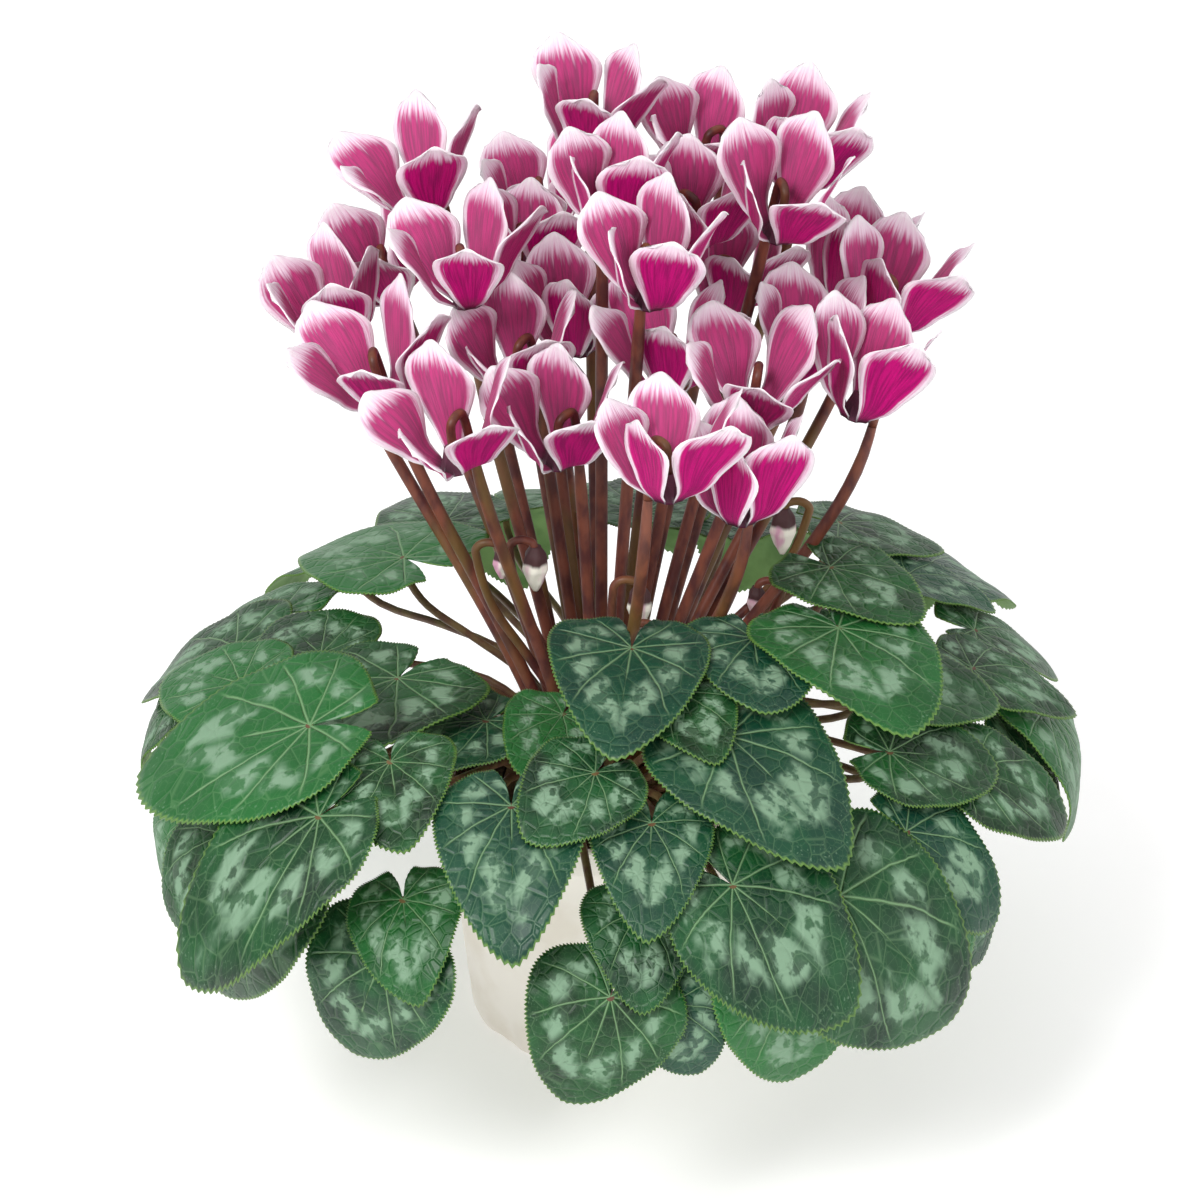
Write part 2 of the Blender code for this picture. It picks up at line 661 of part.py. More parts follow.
def place_blooms():
    """Sets the blooms front to back, each moved along the line of sight or turned until it is clear."""
    blooms = [Bloom(*row, seed=500 + index) for index, row in enumerate(BLOOMS)]
    tries = [(nudge, depth, turn) for nudge in BLOOM_NUDGES for depth in BLOOM_DEPTHS for turn in BLOOM_TURNS]
    trees = []
    for bloom in sorted(blooms, key=lambda each: each.up):
        for nudge, depth, turn in tries:
            bloom.place(depth * MM, math.radians(turn), nudge)
            hook = bloom.hook_path()
            hook_shape = tube(hook, [HOOK_TUBE + 0.8 * MM] * len(hook), 4)
            head = tree_of([bloom.corolla(thickness=PETAL + 1.6 * MM), hook_shape])
            line = tree_of([tube(bloom_stalk(bloom)[1:], [STALK_RADIUS + 0.8 * MM] * STALK_STEPS, 5)])
            if not crosses_own(bloom) and not any(head.overlap(tree) or line.overlap(tree) for tree in trees):
                trees += [head, line]
                break
    return blooms


def crosses_own(bloom):
    """True where the stalk would touch the petals of its own bloom."""
    petals = tree_of([bloom.corolla(thickness=2 * PETAL)])
    line = tree_of([tube(bloom_stalk(bloom), [STALK_RADIUS + 0.3 * MM] * (STALK_STEPS + 1), 5)])
    return bool(line.overlap(petals))


def pot(home):
    """A tapered clay pot: wall, floor, and a lumpy foot edge."""
    profile = [(0, 0), (POT_FOOT_RADIUS - 1 * MM, 0), (POT_FOOT_RADIUS + 1.5 * MM, 5 * MM),
               (POT_FOOT_RADIUS + 2.5 * MM, 18 * MM), (POT_RIM_RADIUS - 2 * MM, POT_HEIGHT - 15 * MM),
               (POT_RIM_RADIUS, POT_HEIGHT - 12 * MM), (POT_RIM_RADIUS, POT_HEIGHT),
               (POT_RIM_RADIUS - POT_WALL, POT_HEIGHT), (POT_FOOT_RADIUS - POT_WALL, POT_FLOOR), (0, POT_FLOOR)]
    points, faces = turned_solid(profile, POT_SIDES)
    for place in points:
        radius = math.hypot(place.x, place.y)
        if radius > POT_FOOT_RADIUS and 1 * MM < place.z < 30 * MM:
            angle = math.atan2(place.y, place.x)
            lump = LUMP_DEPTH * (math.sin(FOOT_LUMPS * angle) + 0.5 * math.sin(17 * angle + 1))
            place.x += lump * math.cos(angle)
            place.y += lump * math.sin(angle)
    return add_object("pot", mesh_of("pot", points, faces), "clay", home)


def turned_solid(profile, sides):
    """A closed solid turned from a profile that starts and ends on the axis."""
    points = [Vector((0, 0, profile[0][1]))]
    faces = []
    for radius, height in profile[1:-1]:
        for side in range(sides):
            angle = 2 * math.pi * side / sides
            points.append(Vector((radius * math.cos(angle), radius * math.sin(angle), height)))
    points.append(Vector((0, 0, profile[-1][1])))
    last = len(points) - 1
    rings = len(profile) - 2
    for side in range(sides):
        after = (side + 1) % sides
        faces.append((0, 1 + side, 1 + after))
        faces.append((last, last - sides + after, last - sides + side))
        for ring in range(rings - 1):
            a, b = 1 + ring * sides + side, 1 + ring * sides + after
            faces += [(a, a + sides, b + sides), (a, b + sides, b)]
    return points, faces


def soil(home):
    """The filling: a disc of compost with a bowl that the tuber sits in."""
    level = (SOIL_TOP - POT_FLOOR) / (POT_HEIGHT - POT_FLOOR)
    inner_foot = POT_FOOT_RADIUS - POT_WALL
    inner_top = inner_foot + (POT_RIM_RADIUS - POT_WALL - inner_foot) * level
    gap = 1.4 * CLEARANCE
    seat = TUBER_RADIUS + CLEARANCE
    profile = [(0, POT_FLOOR + gap), (inner_foot - gap, POT_FLOOR + gap), (inner_top - gap, SOIL_TOP),
               (seat, SOIL_TOP), (seat, 100 * MM), (seat * 0.78, TUBER_BOTTOM + 2 * MM), (0, TUBER_BOTTOM - CLEARANCE)]
    return add_object("soil", mesh_of("soil", *turned_solid(profile, POT_SIDES)), "soil", home)


def bud_shapes(across, up, front, length):
    """A bud on its own hooked stalk."""
    back = -front * MM
    height = (up * MM - 0.5 * back) / math.cos(VIEW_ELEVATION)
    top = Vector((across * MM, back, height + 0.5 * length * MM))
    foot = stalk_foot(Vector((top.x * 1.2, back * 1.4 + 22 * MM, 0)))
    side = Vector((6 * MM if across < 50 else -6 * MM, 0, 0))
    pull = (top - foot).length
    path = bezier(foot, foot + Vector((0, 0, pull * 0.4)), top - side - Vector((0, 0, pull * 0.3)), top - side, 4)
    path += [top - side * 0.5 + Vector((0, 0, 4 * MM)), top + side * 0.5 + Vector((0, 0, 3.5 * MM)), top + side * 0.8]
    stalk = tube(path, [BUD_STALK_RADIUS] * 5 + [0.8 * BUD_STALK_RADIUS] * 3, 4)
    start = top + side * 0.8 + Vector((0, 0, 1.5 * MM))
    line = [start - Vector((0, 0, part * length * MM)) for _, part in BUD_LEVELS]
    body = tube(line, [share * 0.22 * length * MM + 0.6 * MM for share, _ in BUD_LEVELS], 6)
    return [stalk, body]


def tuber(home, workshop, blooms):
    """The tuber with the flower stalks and the buds that grow from it."""
    shapes = [turned_solid(TUBER_PROFILE, TUBER_SIDES)]
    for bloom in blooms:
        shapes.append(tube(bloom_stalk(bloom), [STALK_RADIUS] * (STALK_STEPS) + [HOOK_TUBE], STALK_SIDES))
    for row in BUDS:
        shapes += bud_shapes(*row)
    return fused("tuber_and_stalks", shapes, "tuber", home, workshop)


def leaf_stalk(leaf, foot, sway, steps=LEAF_STALK_STEPS):
    """The middle line of a leaf's stalk, from its shoot to the blade."""
    end = leaf.seat(-0.75 * MM)
    below = leaf.seat(9 * MM)
    away = (end - foot).length
    out = Vector((math.sin(leaf.azimuth), -math.cos(leaf.azimuth), 0))
    aside = Vector((math.cos(leaf.azimuth), math.sin(leaf.azimuth), 0))
    start_pull = foot + out * away * (0.20 + 0.2 * sway[1]) + Vector((0, 0, away * 0.32)) + aside * sway[0] * MM
    end_pull = below + (below - end).normalized() * away * 0.20
    return bezier(foot, start_pull, end_pull, below, steps - 1) + [end]


def stalk_paths(pair, foot, leaves, blade_trees, others):
    """A clear middle line for the stalk of each leaf of a pair, or None."""
    shoot = tree_of([tube([foot, foot + Vector((0, 0, SHOOT_HEIGHT))], [SHOOT_RADIUS + 0.5 * MM] * 2, 7)])
    if any(shoot.overlap(tree) for tree in others):
        return None
    paths = []
    for index in pair:
        for sway in SWAYS:
            path = leaf_stalk(leaves[index], foot + Vector((0, 0, 5 * MM)), sway)
            test = tree_of([tube(path, [LEAF_STALK_RADIUS + 0.8 * MM] * len(path), 7)])
            if any(test.overlap(tree) for tree in others):
                continue
            if not any(test.overlap(tree) for other, tree in enumerate(blade_trees) if other not in pair):
                paths.append(path)
                break
        else:
            return None
    return paths


def route_leaf_stalks(leaves, stems, solids):
    """Gives each pair of neighbouring leaves a shoot on the tuber and stalks that touch nothing else."""
    blade_trees = [tree_of([leaf.shape()]) for leaf in leaves]
    others = stems + solids
    order = sorted(range(len(leaves)), key=lambda index: leaves[index].azimuth)
    pairs = [order[index:index + 2] for index in range(0, len(order), 2)]
    routes = []
    for number, both in enumerate(pairs):
        turn = 2 * math.pi * (number + 0.5) / len(pairs) - math.pi
        found = None
        for pair in (both, both[:1], both[1:]):
            for aside, out in SHOOT_MOVES:
                ring, angle = SHOOT_RING + out * MM, turn + aside
                foot = Vector((ring * math.sin(angle), -ring * math.cos(angle), TUBER_TOP + CLEARANCE))
                found = stalk_paths(pair, foot, leaves, blade_trees, others)
                if found:
                    break
            if found:
                routes.append((pair, foot, found))
                shapes = [tube(path, [LEAF_STALK_RADIUS + 0.5 * MM] * len(path), 6) for path in found]
                shapes.append(tube([foot, foot + Vector((0, 0, SHOOT_HEIGHT))], [SHOOT_RADIUS + 0.5 * MM] * 2, 7))
                others.append(tree_of(shapes))
                break
    return routes


def sprays(home, workshop, leaves, routes):
    """Pairs of leaves whose stalks rise from one shoot."""
    for number, (pair, foot, paths) in enumerate(routes):
        shoot = tube([foot, foot + Vector((0, 0, SHOOT_HEIGHT))], [SHOOT_RADIUS, SHOOT_RADIUS * 0.8], 5)
        stalked = [leaves[index].with_stalk(path) for index, path in zip(pair, paths)]
        fused(f"leaves_{number + 1:02d}", stalked + [shoot], "leaf", home, workshop)


def main():
    """Clears the scene and models the plant and its pot."""
    for piece in list(bpy.data.objects):
        bpy.data.objects.remove(piece)
    home = bpy.data.collections.new(COLLECTION)
    bpy.context.scene.collection.children.link(home)
    workshop = bpy.data.collections.new("workshop")
    workshop.hide_render = True
    bpy.context.scene.collection.children.link(workshop)
    vessel = [pot(home), soil(home)]
    blooms = place_blooms()
    stems = stem_trees(blooms)
    leaves = stack_leaves(stems)
    solids = [tree_of([turned_solid(TUBER_PROFILE, TUBER_SIDES)])] + [tree_of([shape_of(piece)]) for piece in vessel]
    tuber(home, workshop, blooms)
    for number, bloom in enumerate(blooms):
        fused(f"bloom_{number + 1:02d}", bloom.shapes(), "petal", home, workshop)
    sprays(home, workshop, leaves, route_leaf_stalks(leaves, stems, solids))


main()
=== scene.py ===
"""Dresses the potted florist's cyclamen: marbled leaves, edged petals, stalks, buds, soil and clay.

The leaves and blooms stand where the solids stand, because the same rules place them. Each class below
makes one kind of organ, finer than its solid, and the finishes are node materials on its own coordinates.
"""

import logging
import math
import random
from dataclasses import dataclass
from enum import Enum

import bmesh
import bpy
import numpy as np
from mathutils import Matrix, Vector
from mathutils.bvhtree import BVHTree


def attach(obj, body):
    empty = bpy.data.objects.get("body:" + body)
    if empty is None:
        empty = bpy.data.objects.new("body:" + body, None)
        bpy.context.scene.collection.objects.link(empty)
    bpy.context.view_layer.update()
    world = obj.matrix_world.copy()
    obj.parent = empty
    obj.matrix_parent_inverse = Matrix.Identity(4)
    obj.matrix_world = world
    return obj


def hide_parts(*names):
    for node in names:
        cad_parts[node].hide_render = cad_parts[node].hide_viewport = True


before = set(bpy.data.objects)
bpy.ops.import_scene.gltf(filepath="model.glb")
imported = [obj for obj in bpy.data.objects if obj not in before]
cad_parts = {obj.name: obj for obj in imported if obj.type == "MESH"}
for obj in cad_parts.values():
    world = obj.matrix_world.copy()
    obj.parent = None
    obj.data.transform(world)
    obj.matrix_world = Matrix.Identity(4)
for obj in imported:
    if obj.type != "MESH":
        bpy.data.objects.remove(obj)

LOG = logging.getLogger("cyclamen")
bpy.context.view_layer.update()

MM = 0.001
Number = float | np.ndarray
Face = tuple[int, ...]
Shape = tuple[list[Vector], list[Face]]
Rings = tuple[tuple[float, int], ...]
Profile = list[tuple[float, float]] | tuple[tuple[float, float], ...]
Route = tuple[list[int], Vector, list[list[Vector]]]
Node = bpy.types.Node
Socket = bpy.types.NodeSocket


class Finish(Enum):
    """The named finishes of the plant and its pot."""

    LEAF = "leaf"
    LEAF_UNDER = "leaf_under"
    LEAF_STALK = "leaf_stalk"
    STALK = "stalk"
    PETAL = "petal"
    PETAL_BACK = "petal_back"
    BUD = "bud"
    SOIL = "soil"
    CLAY = "clay"
    TUBER = "tuber"
    FLOOR = "floor"


def smooth(low: float, high: float, value: Number) -> Number:
    """0 below low, 1 above high, smooth between.

    Args:
        low: Where the step starts.
        high: Where it ends.
        value: A number or an array.

    Returns:
        The smoothed share, of the same kind as value.
    """
    part = np.clip((value - low) / (high - low), 0, 1)
    return part * part * (3 - 2 * part)


def bezier(start: Vector, start_pull: Vector, end_pull: Vector, end: Vector, steps: int) -> list[Vector]:
    """Points along one smooth curve between two ends.

    Args:
        start: First end.
        start_pull: Handle of the first end.
        end_pull: Handle of the last end.
        end: Last end.
        steps: How many spans.

    Returns:
        steps + 1 places.
    """
    places = []
    for step in range(steps + 1):
        t = step / steps
        places.append((1 - t) ** 3 * start + 3 * (1 - t) ** 2 * t * start_pull
                      + 3 * (1 - t) * t ** 2 * end_pull + t ** 3 * end)
    return places


def tube(path: list[Vector], radii: list[float], sides: int) -> Shape:
    """A closed tube along a path.

    Args:
        path: Middle line.
        radii: Radius at each place.
        sides: How many sides.

    Returns:
        Points and faces.
    """
    points, faces = [], []
    tangents = [(path[min(i + 1, len(path) - 1)] - path[max(i - 1, 0)]).normalized() for i in range(len(path))]
    across = tangents[0].orthogonal().normalized()
    for place, tangent, radius in zip(path, tangents, radii):
        across = (across - tangent * across.dot(tangent)).normalized()
        other = tangent.cross(across)
        for side in range(sides):
            angle = 2 * math.pi * side / sides
            points.append(place + radius * (math.cos(angle) * across + math.sin(angle) * other))
    for ring in range(len(path) - 1):
        for side in range(sides):
            after = (side + 1) % sides
            a, b = ring * sides + side, ring * sides + after
            faces += [(a, b, b + sides), (a, b + sides, a + sides)]
    last = (len(path) - 1) * sides
    for side in range(1, sides - 1):
        faces.append((0, side + 1, side))
        faces.append((last, last + side, last + side + 1))
    return points, faces


def sheet_shape(top: list[Vector], bottom: list[Vector], triangles: list, border: list[int]) -> Shape:
    """A closed thin sheet from matching upper and lower points.

    Args:
        top: Upper points.
        bottom: Lower points, in the same order.
        triangles: Faces of the upper side.
        border: The outline, as indices in order.

    Returns:
        Points and faces: upper faces, then lower faces, then the rim.
    """
    count = len(top)
    faces = [tuple(face) for face in triangles]
    faces += [(c + count, b + count, a + count) for a, b, c in triangles]
    for index, first in enumerate(border):
        second = border[(index + 1) % len(border)]
        faces += [(first, first + count, second + count), (first, second + count, second)]
    return list(top) + list(bottom), faces


def tree_of(shapes: list[Shape]) -> BVHTree:
    """A search tree over several shapes.

    Args:
        shapes: Points and faces of each.

    Returns:
        The tree.
    """
    points, faces = [], []
    for shape_points, shape_faces in shapes:
        faces += [tuple(index + len(points) for index in face) for face in shape_faces]
        points += shape_points
    return BVHTree.FromPolygons(points, faces)


def turned_solid(profile: Profile, sides: int) -> Shape:
    """A closed solid turned from a profile that starts and ends on the axis.

    Args:
        profile: (radius, height) pairs, bottom to top.
        sides: How many sides.

    Returns:
        Points and faces.
    """
    points = [Vector((0, 0, profile[0][1]))]
    faces = []
    for radius, height in profile[1:-1]:
        for side in range(sides):
            angle = 2 * math.pi * side / sides
            points.append(Vector((radius * math.cos(angle), radius * math.sin(angle), height)))
    points.append(Vector((0, 0, profile[-1][1])))
    last = len(points) - 1
    for side in range(sides):
        after = (side + 1) % sides
        faces.append((0, 1 + side, 1 + after))
        faces.append((last, last - sides + after, last - sides + side))
        for ring in range(len(profile) - 3):
            a, b = 1 + ring * sides + side, 1 + ring * sides + after
            faces += [(a, a + sides, b + sides), (a, b + sides, b)]
    return points, faces


CLEARANCE = 0.3 * MM

# Pot
POT_HEIGHT = 120 * MM
POT_FOOT_RADIUS = 57 * MM
POT_RIM_RADIUS = 70 * MM
POT_WALL = 4.5 * MM
POT_FLOOR = 6 * MM
FOOT_LUMPS = 11
LUMP_DEPTH = 0.9 * MM

# Soil and tuber
SOIL_TOP = 110 * MM
TUBER_RADIUS = 43 * MM
TUBER_TOP = 118 * MM
TUBER_BOTTOM = 84 * MM
TUBER_SIDES = 16
TUBER_PROFILE = (
    (0, TUBER_BOTTOM), (TUBER_RADIUS * 0.62, TUBER_BOTTOM + 3 * MM), (TUBER_RADIUS - 1 * MM, 101 * MM),
    (TUBER_RADIUS - 0.6 * MM, SOIL_TOP), (TUBER_RADIUS * 0.93, TUBER_TOP), (0, TUBER_TOP),
)

VIEW_ELEVATION = math.radians(30)

# Leaf dome
DOME_RADIUS = 198 * MM
DOME_FOOT = 122 * MM
DOME_RISE = 58 * MM
DOME_FULLNESS = 2.6
SKIRT_DROP = 95 * MM
SKIRT_TUCK = 20 * MM
BLADE = 0.8 * MM
LAYER_GAP = 2.4 * MM
LENGTH_SHARE = 0.97
BLADE_RINGS = ((0.5, 6), (1.0, 11))
RAY_SPREAD = math.radians(170)

# Leaf stalks
LEAF_STALK_RADIUS = 1.7 * MM
LEAF_STALK_STEPS = 5
SHOOT_RING = 34 * MM
SHOOT_RADIUS = 2.6 * MM
SHOOT_HEIGHT = 8 * MM
# Ways that a leaf stalk may bow, tried in turn: millimetres aside, and how much further out
SWAYS = [(aside, out) for out in (0, 1, -1, 2)
         for aside in (0, 6, -6, 12, -12, 20, -20, 30, -30, 42, -42)]
# Places where a shoot may stand, tried in turn: radians round the tuber and millimetres outwards
SHOOT_MOVES = [(turn, out) for turn in (0, 0.06, -0.06, 0.12, -0.12, 0.2, -0.2) for out in (0, -3, 3, -6, 5)]

# Blooms
STALK_RADIUS = 2.6 * MM
STALK_STEPS = 6
STALK_SPREAD = 0.17
TUBE_RADIUS = 5.5 * MM
TUBE_HEIGHT = 10 * MM
HOOK_RADIUS = 5.5 * MM
HOOK_TUBE = 1.9 * MM
HOOK_TURN = math.radians(33)
PETALS = 5
PETAL = 0.8 * MM
PETAL_ROWS = (0.0, 0.34, 0.70, 1.0)
PETAL_COLUMNS = (-1.0, 0.0, 1.0)
# Moves tried in turn until a bloom stands clear: across and up the picture, along the line of sight, and a turn
BLOOM_NUDGES = ((0, 0), (6, 0), (-6, 0), (0, 7), (0, -7), (10, 5), (-10, 5))
BLOOM_DEPTHS = sorted(range(-60, 100, 5), key=abs)
BLOOM_TURNS = (0, 24, 48, 12, 36, 60)

# Each leaf: where its stalk meets the blade, as degrees round the plant from the front and millimetres
# down the dome from its top, then the way the tip points, in degrees from straight down, and the length.
LEAVES = (
    (-13, 146, 15, 54), (1, 203, -20, 54), (8, 207, 18, 40), (22, 203, 2, 54), (16, 174, 42, 54),
    (29, 184, 36, 66), (37, 199, 25, 54), (-26, 199, -17, 60), (-36, 171, -30, 56), (-26, 177, 30, 42),
    (-47, 188, -17, 70), (-54, 186, -9, 44), (-33, 142, 42, 40), (-47, 146, -50, 70), (-65, 192, -22, 46),
    (-74, 166, -24, 40), (5, 172, -3, 38), (7, 150, -10, 42), (22, 124, 20, 62), (-1, 133, -42, 38),
    (16, 101, 6, 38), (8, 69, -15, 58), (-15, 61, -8, 42), (-39, 75, -20, 50), (-64, 92, 30, 62),
    (40, 86, -36, 44), (49, 56, 2, 36), (81, 71, 8, 27), (74, 85, -28, 44), (56, 107, -32, 58),
    (43, 172, 28, 48), (46, 192, 20, 48), (50, 145, 50, 48), (59, 169, 38, 46), (64, 121, 32, 52),
    (77, 188, 40, 50), (88, 190, -45, 58), (84, 153, 10, 46), (98, 159, 8, 46), (109, 136, -22, 40),
    (100, 88, -20, 40), (126, 124, -30, 48), (117, 158, 12, 54), (-85, 117, -62, 46), (-118, 76, -20, 66),
    (-97, 158, -16, 58), (-80, 150, -50, 50), (-111, 152, -20, 54), (-136, 176, 25, 48), (-92, 192, 10, 46),
    (136, 182, 6, 58), (153, 150, -14, 60), (158, 192, 18, 54), (172, 170, -8, 60), (-173, 132, 14, 56),
    (-166, 194, -12, 52), (-154, 160, 12, 62), (-145, 118, -16, 54), (168, 92, 12, 50), (148, 100, 24, 44),
)

# Each bloom in the view from the front: millimetres right of the pot's middle and up the picture, then
# how wide the petals spread (0 to 1), the turn of the petal ring and the lean to the right in degrees.
BLOOMS = (
    (-78, 352, 0.85, 10, -12), (-28, 354, 0.55, 30, -4), (-4, 380, 0.60, 50, 2), (44, 370, 0.70, 5, 4),
    (84, 364, 0.45, 25, 12), (-93, 318, 0.50, 60, -14), (-56, 312, 0.80, 40, -6), (-113, 296, 0.45, 15, -16),
    (-92, 270, 0.90, 33, -14), (5, 340, 0.50, 20, 0), (-10, 298, 0.45, 55, 0), (-35, 276, 0.60, 8, -4),
    (40, 336, 0.50, 44, 4), (80, 336, 0.60, 12, 8), (58, 314, 0.50, 66, 6), (20, 308, 0.45, 26, 2),
    (28, 278, 0.75, 48, 0), (110, 322, 0.45, 35, 14), (124, 306, 0.60, 58, 16), (88, 284, 0.60, 18, 10),
    (108, 268, 0.50, 2, 14), (-60, 242, 0.65, 24, -8), (-18, 246, 0.55, 12, -2), (26, 232, 0.70, 36, 2),
    (62, 262, 0.85, 52, 6), (56, 224, 0.40, 30, 6), (-30, 330, 0.50, 64, -2),
)

# Each bud: right of the pot's middle and up the picture as for the blooms, millimetres towards the front
# from the middle, and its length.
BUDS = (
    (-32, 186, 14, 21), (-46, 188, 10, 14), (11, 170, 22, 20),
    (81, 202, -12, 22), (70, 172, 0, 15), (18, 156, 30, 11),
)
BUD_STALK_RADIUS = 2.1 * MM
# A bud's outline: width as a share of its widest, and place down its length
BUD_LEVELS = ((0.35, 0.02), (0.85, 0.2), (1.0, 0.5), (0.62, 0.8), (0.12, 1.0))

class Dome:
    """The surface that the leaves lie on: a turned curve with a hanging skirt."""

    def __init__(self) -> None:
        """Tables of radius, height and arc down the dome."""
        part = np.linspace(0, 1, 900)
        radius = DOME_RADIUS * np.sin(part * math.pi / 2)
        height = DOME_FOOT + DOME_RISE * np.sqrt(1 - np.minimum(radius / DOME_RADIUS, 1) ** DOME_FULLNESS)
        drop = np.linspace(0, 1, 200)[1:]
        self.radius = np.concatenate([radius, DOME_RADIUS - SKIRT_TUCK * drop ** 2])
        self.height = np.concatenate([height, DOME_FOOT - SKIRT_DROP * drop])
        step = np.hypot(np.diff(self.radius), np.diff(self.height))
        self.arc = np.concatenate([[0], np.cumsum(step)])

    def turn_radius(self, arc: Number) -> Number:
        """Distance from the axis at an arc length from the top.

        Args:
            arc: Length down the dome from its top.

        Returns:
            The radius, of the same kind as arc.
        """
        return np.interp(arc, self.arc, self.radius)

    def point(self, azimuth: Number, arc: Number, lift: Number) -> np.ndarray:
        """The place at an azimuth (radians) and arc, lifted along the surface's normal.

        Args:
            azimuth: Angle round the plant from the front.
            arc: Length down the dome from its top.
            lift: Height over the surface.

        Returns:
            Places, with x, y and z last.
        """
        ahead = np.interp(arc + 9 * MM, self.arc, self.radius) - np.interp(arc - 9 * MM, self.arc, self.radius)
        down = np.interp(arc + 9 * MM, self.arc, self.height) - np.interp(arc - 9 * MM, self.arc, self.height)
        size = np.hypot(ahead, down) + 1e-12
        radius = np.interp(arc, self.arc, self.radius) - lift * down / size
        height = np.interp(arc, self.arc, self.height) + lift * ahead / size
        return np.stack([radius * np.sin(azimuth), -radius * np.cos(azimuth), height], axis=-1)


DOME = Dome()


class Leaf:
    """One heart-shaped blade on the dome, with its own fold, waves and droop."""

    def __init__(self, azimuth: float, arc: float, heading: float, length: float, seed: int) -> None:
        """Takes a row of LEAVES and draws the rest.

        Args:
            azimuth: Degrees round the plant from the front.
            arc: Millimetres down the dome.
            heading: Degrees that the tip points aside.
            length: Millimetres from stalk to tip.
            seed: Of the random draw.
        """
        draw = random.Random(seed)
        self.azimuth = math.radians(azimuth)
        self.arc = arc * MM
        self.heading = math.radians(heading)
        self.length = LENGTH_SHARE * length * MM
        self.width = draw.uniform(0.92, 1.08)
        self.fold = draw.uniform(0.02, 0.09)
        self.wave = draw.uniform(0.4, 1.3) * MM
        self.phase = draw.uniform(0, 6.28)
        self.droop = draw.uniform(0.02, 0.10)
        self.tilt = draw.uniform(-0.03, 0.05)
        self.lift = 0.0

    def reach(self, angle: Number) -> Number:
        """Distance from the stalk to the outline, by the angle from the tip.

        Args:
            angle: Angle from the tip, in radians.

        Returns:
            The distance, of the same kind as angle.
        """
        turn = np.abs(angle)
        body = 0.58 + 0.42 * np.exp(-(turn / 0.55) ** 1.4)
        body = body * (1 - 0.36 * smooth(1.45, 2.75, turn))
        notch = 1 - 0.85 * smooth(2.75, 3.12, turn)
        return self.length * body * notch * (1 + (self.width - 1) * np.sin(turn))

    def form(self, along: Number, aside: Number) -> Number:
        """Height of the blade over its own plane: folded at the midrib, waved at the rim, drooping at the tip.

        Args:
            along: Towards the tip from the stalk.
            aside: Across the midrib.

        Returns:
            The height.
        """
        far = np.hypot(along, aside) / self.length
        angle = np.arctan2(aside, along)
        rise = self.fold * np.sqrt(aside ** 2 + (2 * MM) ** 2) + self.tilt * along
        wave = self.wave * np.sin(3 * angle + self.phase)
        return rise + wave * far ** 2 - self.droop * self.length * far ** 2

    def to_dome(self, along: Number, aside: Number) -> tuple[Number, Number]:
        """Azimuth and arc of a place on the blade.

        Args:
            along: Towards the tip from the stalk.
            aside: Across the midrib.

        Returns:
            Azimuth and arc.
        """
        cos, sin = math.cos(self.heading), math.sin(self.heading)
        arc = self.arc + along * cos - aside * sin
        turn = (along * sin + aside * cos) / np.maximum(DOME.turn_radius(np.maximum(arc, 25 * MM)), 25 * MM)
        return self.azimuth + turn, arc

    def from_dome(self, azimuth: Number, arc: Number) -> tuple[Number, Number]:
        """The blade's own coordinates of a place on the dome.

        Args:
            azimuth: Angle round the plant.
            arc: Length down the dome.

        Returns:
            Along and aside on the blade.
        """
        delta = (azimuth - self.azimuth + math.pi) % (2 * math.pi) - math.pi
        round_way = delta * np.maximum(DOME.turn_radius(np.maximum(arc, 25 * MM)), 25 * MM)
        down_way = arc - self.arc
        cos, sin = math.cos(self.heading), math.sin(self.heading)
        return down_way * cos + round_way * sin, round_way * cos - down_way * sin

    def covers(self, azimuth: Number, arc: Number, margin: float) -> Number:
        """True where the blade, widened by a margin, lies over a place on the dome.

        Args:
            azimuth: Angle round the plant.
            arc: Length down the dome.
            margin: How much wider than the blade.

        Returns:
            True or False for each place.
        """
        along, aside = self.from_dome(azimuth, arc)
        return np.hypot(along, aside) < self.reach(np.arctan2(aside, along)) + margin

    def height_at(self, azimuth: Number, arc: Number) -> Number:
        """Lift of the blade over the dome at a place that it covers.

        Args:
            azimuth: Angle round the plant.
            arc: Length down the dome.

        Returns:
            The lift.
        """
        return self.lift + self.form(*self.from_dome(azimuth, arc))

    def samples(self) -> tuple[Number, Number]:
        """Places spread over the blade and just past its outline.

        Returns:
            Their azimuths and arcs.
        """
        angle = np.linspace(-math.pi, math.pi, 33)[:-1]
        reach = self.reach(angle) + 1.5 * MM
        part = np.array([0.0, 0.25, 0.5, 0.75, 0.9, 1.0])[:, None]
        along = (part * reach * np.cos(angle)).ravel()
        aside = (part * reach * np.sin(angle)).ravel()
        return self.to_dome(along, aside)

    def faces_of(self, rings: Rings) -> tuple[list[Face], list[int]]:
        """The upper face's triangles and the border, for rings of points round the stalk.

        Args:
            rings: Share of the reach and number of rays of each ring.

        Returns:
            The triangles and the border.
        """
        faces = [(0, 1 + ray, 2 + ray) for ray in range(rings[0][1] - 1)]
        starts = [1]
        for (_, inner), (_, outer) in zip(rings, rings[1:]):
            start, after = starts[-1], starts[-1] + inner
            starts.append(after)
            for ray in range(inner - 1):
                a = start + ray
                if outer == inner:
                    b = after + ray
                    faces += [(a, b, b + 1), (a, b + 1, a + 1)]
                else:
                    b = after + 2 * ray
                    faces += [(a, b, b + 1), (a, b + 1, a + 1), (a + 1, b + 1, b + 2)]
        border = [0] + starts[:-1] + list(range(starts[-1], starts[-1] + rings[-1][1]))
        border += [starts[ring] + rings[ring][1] - 1 for ring in range(len(rings) - 2, -1, -1)]
        return faces, border

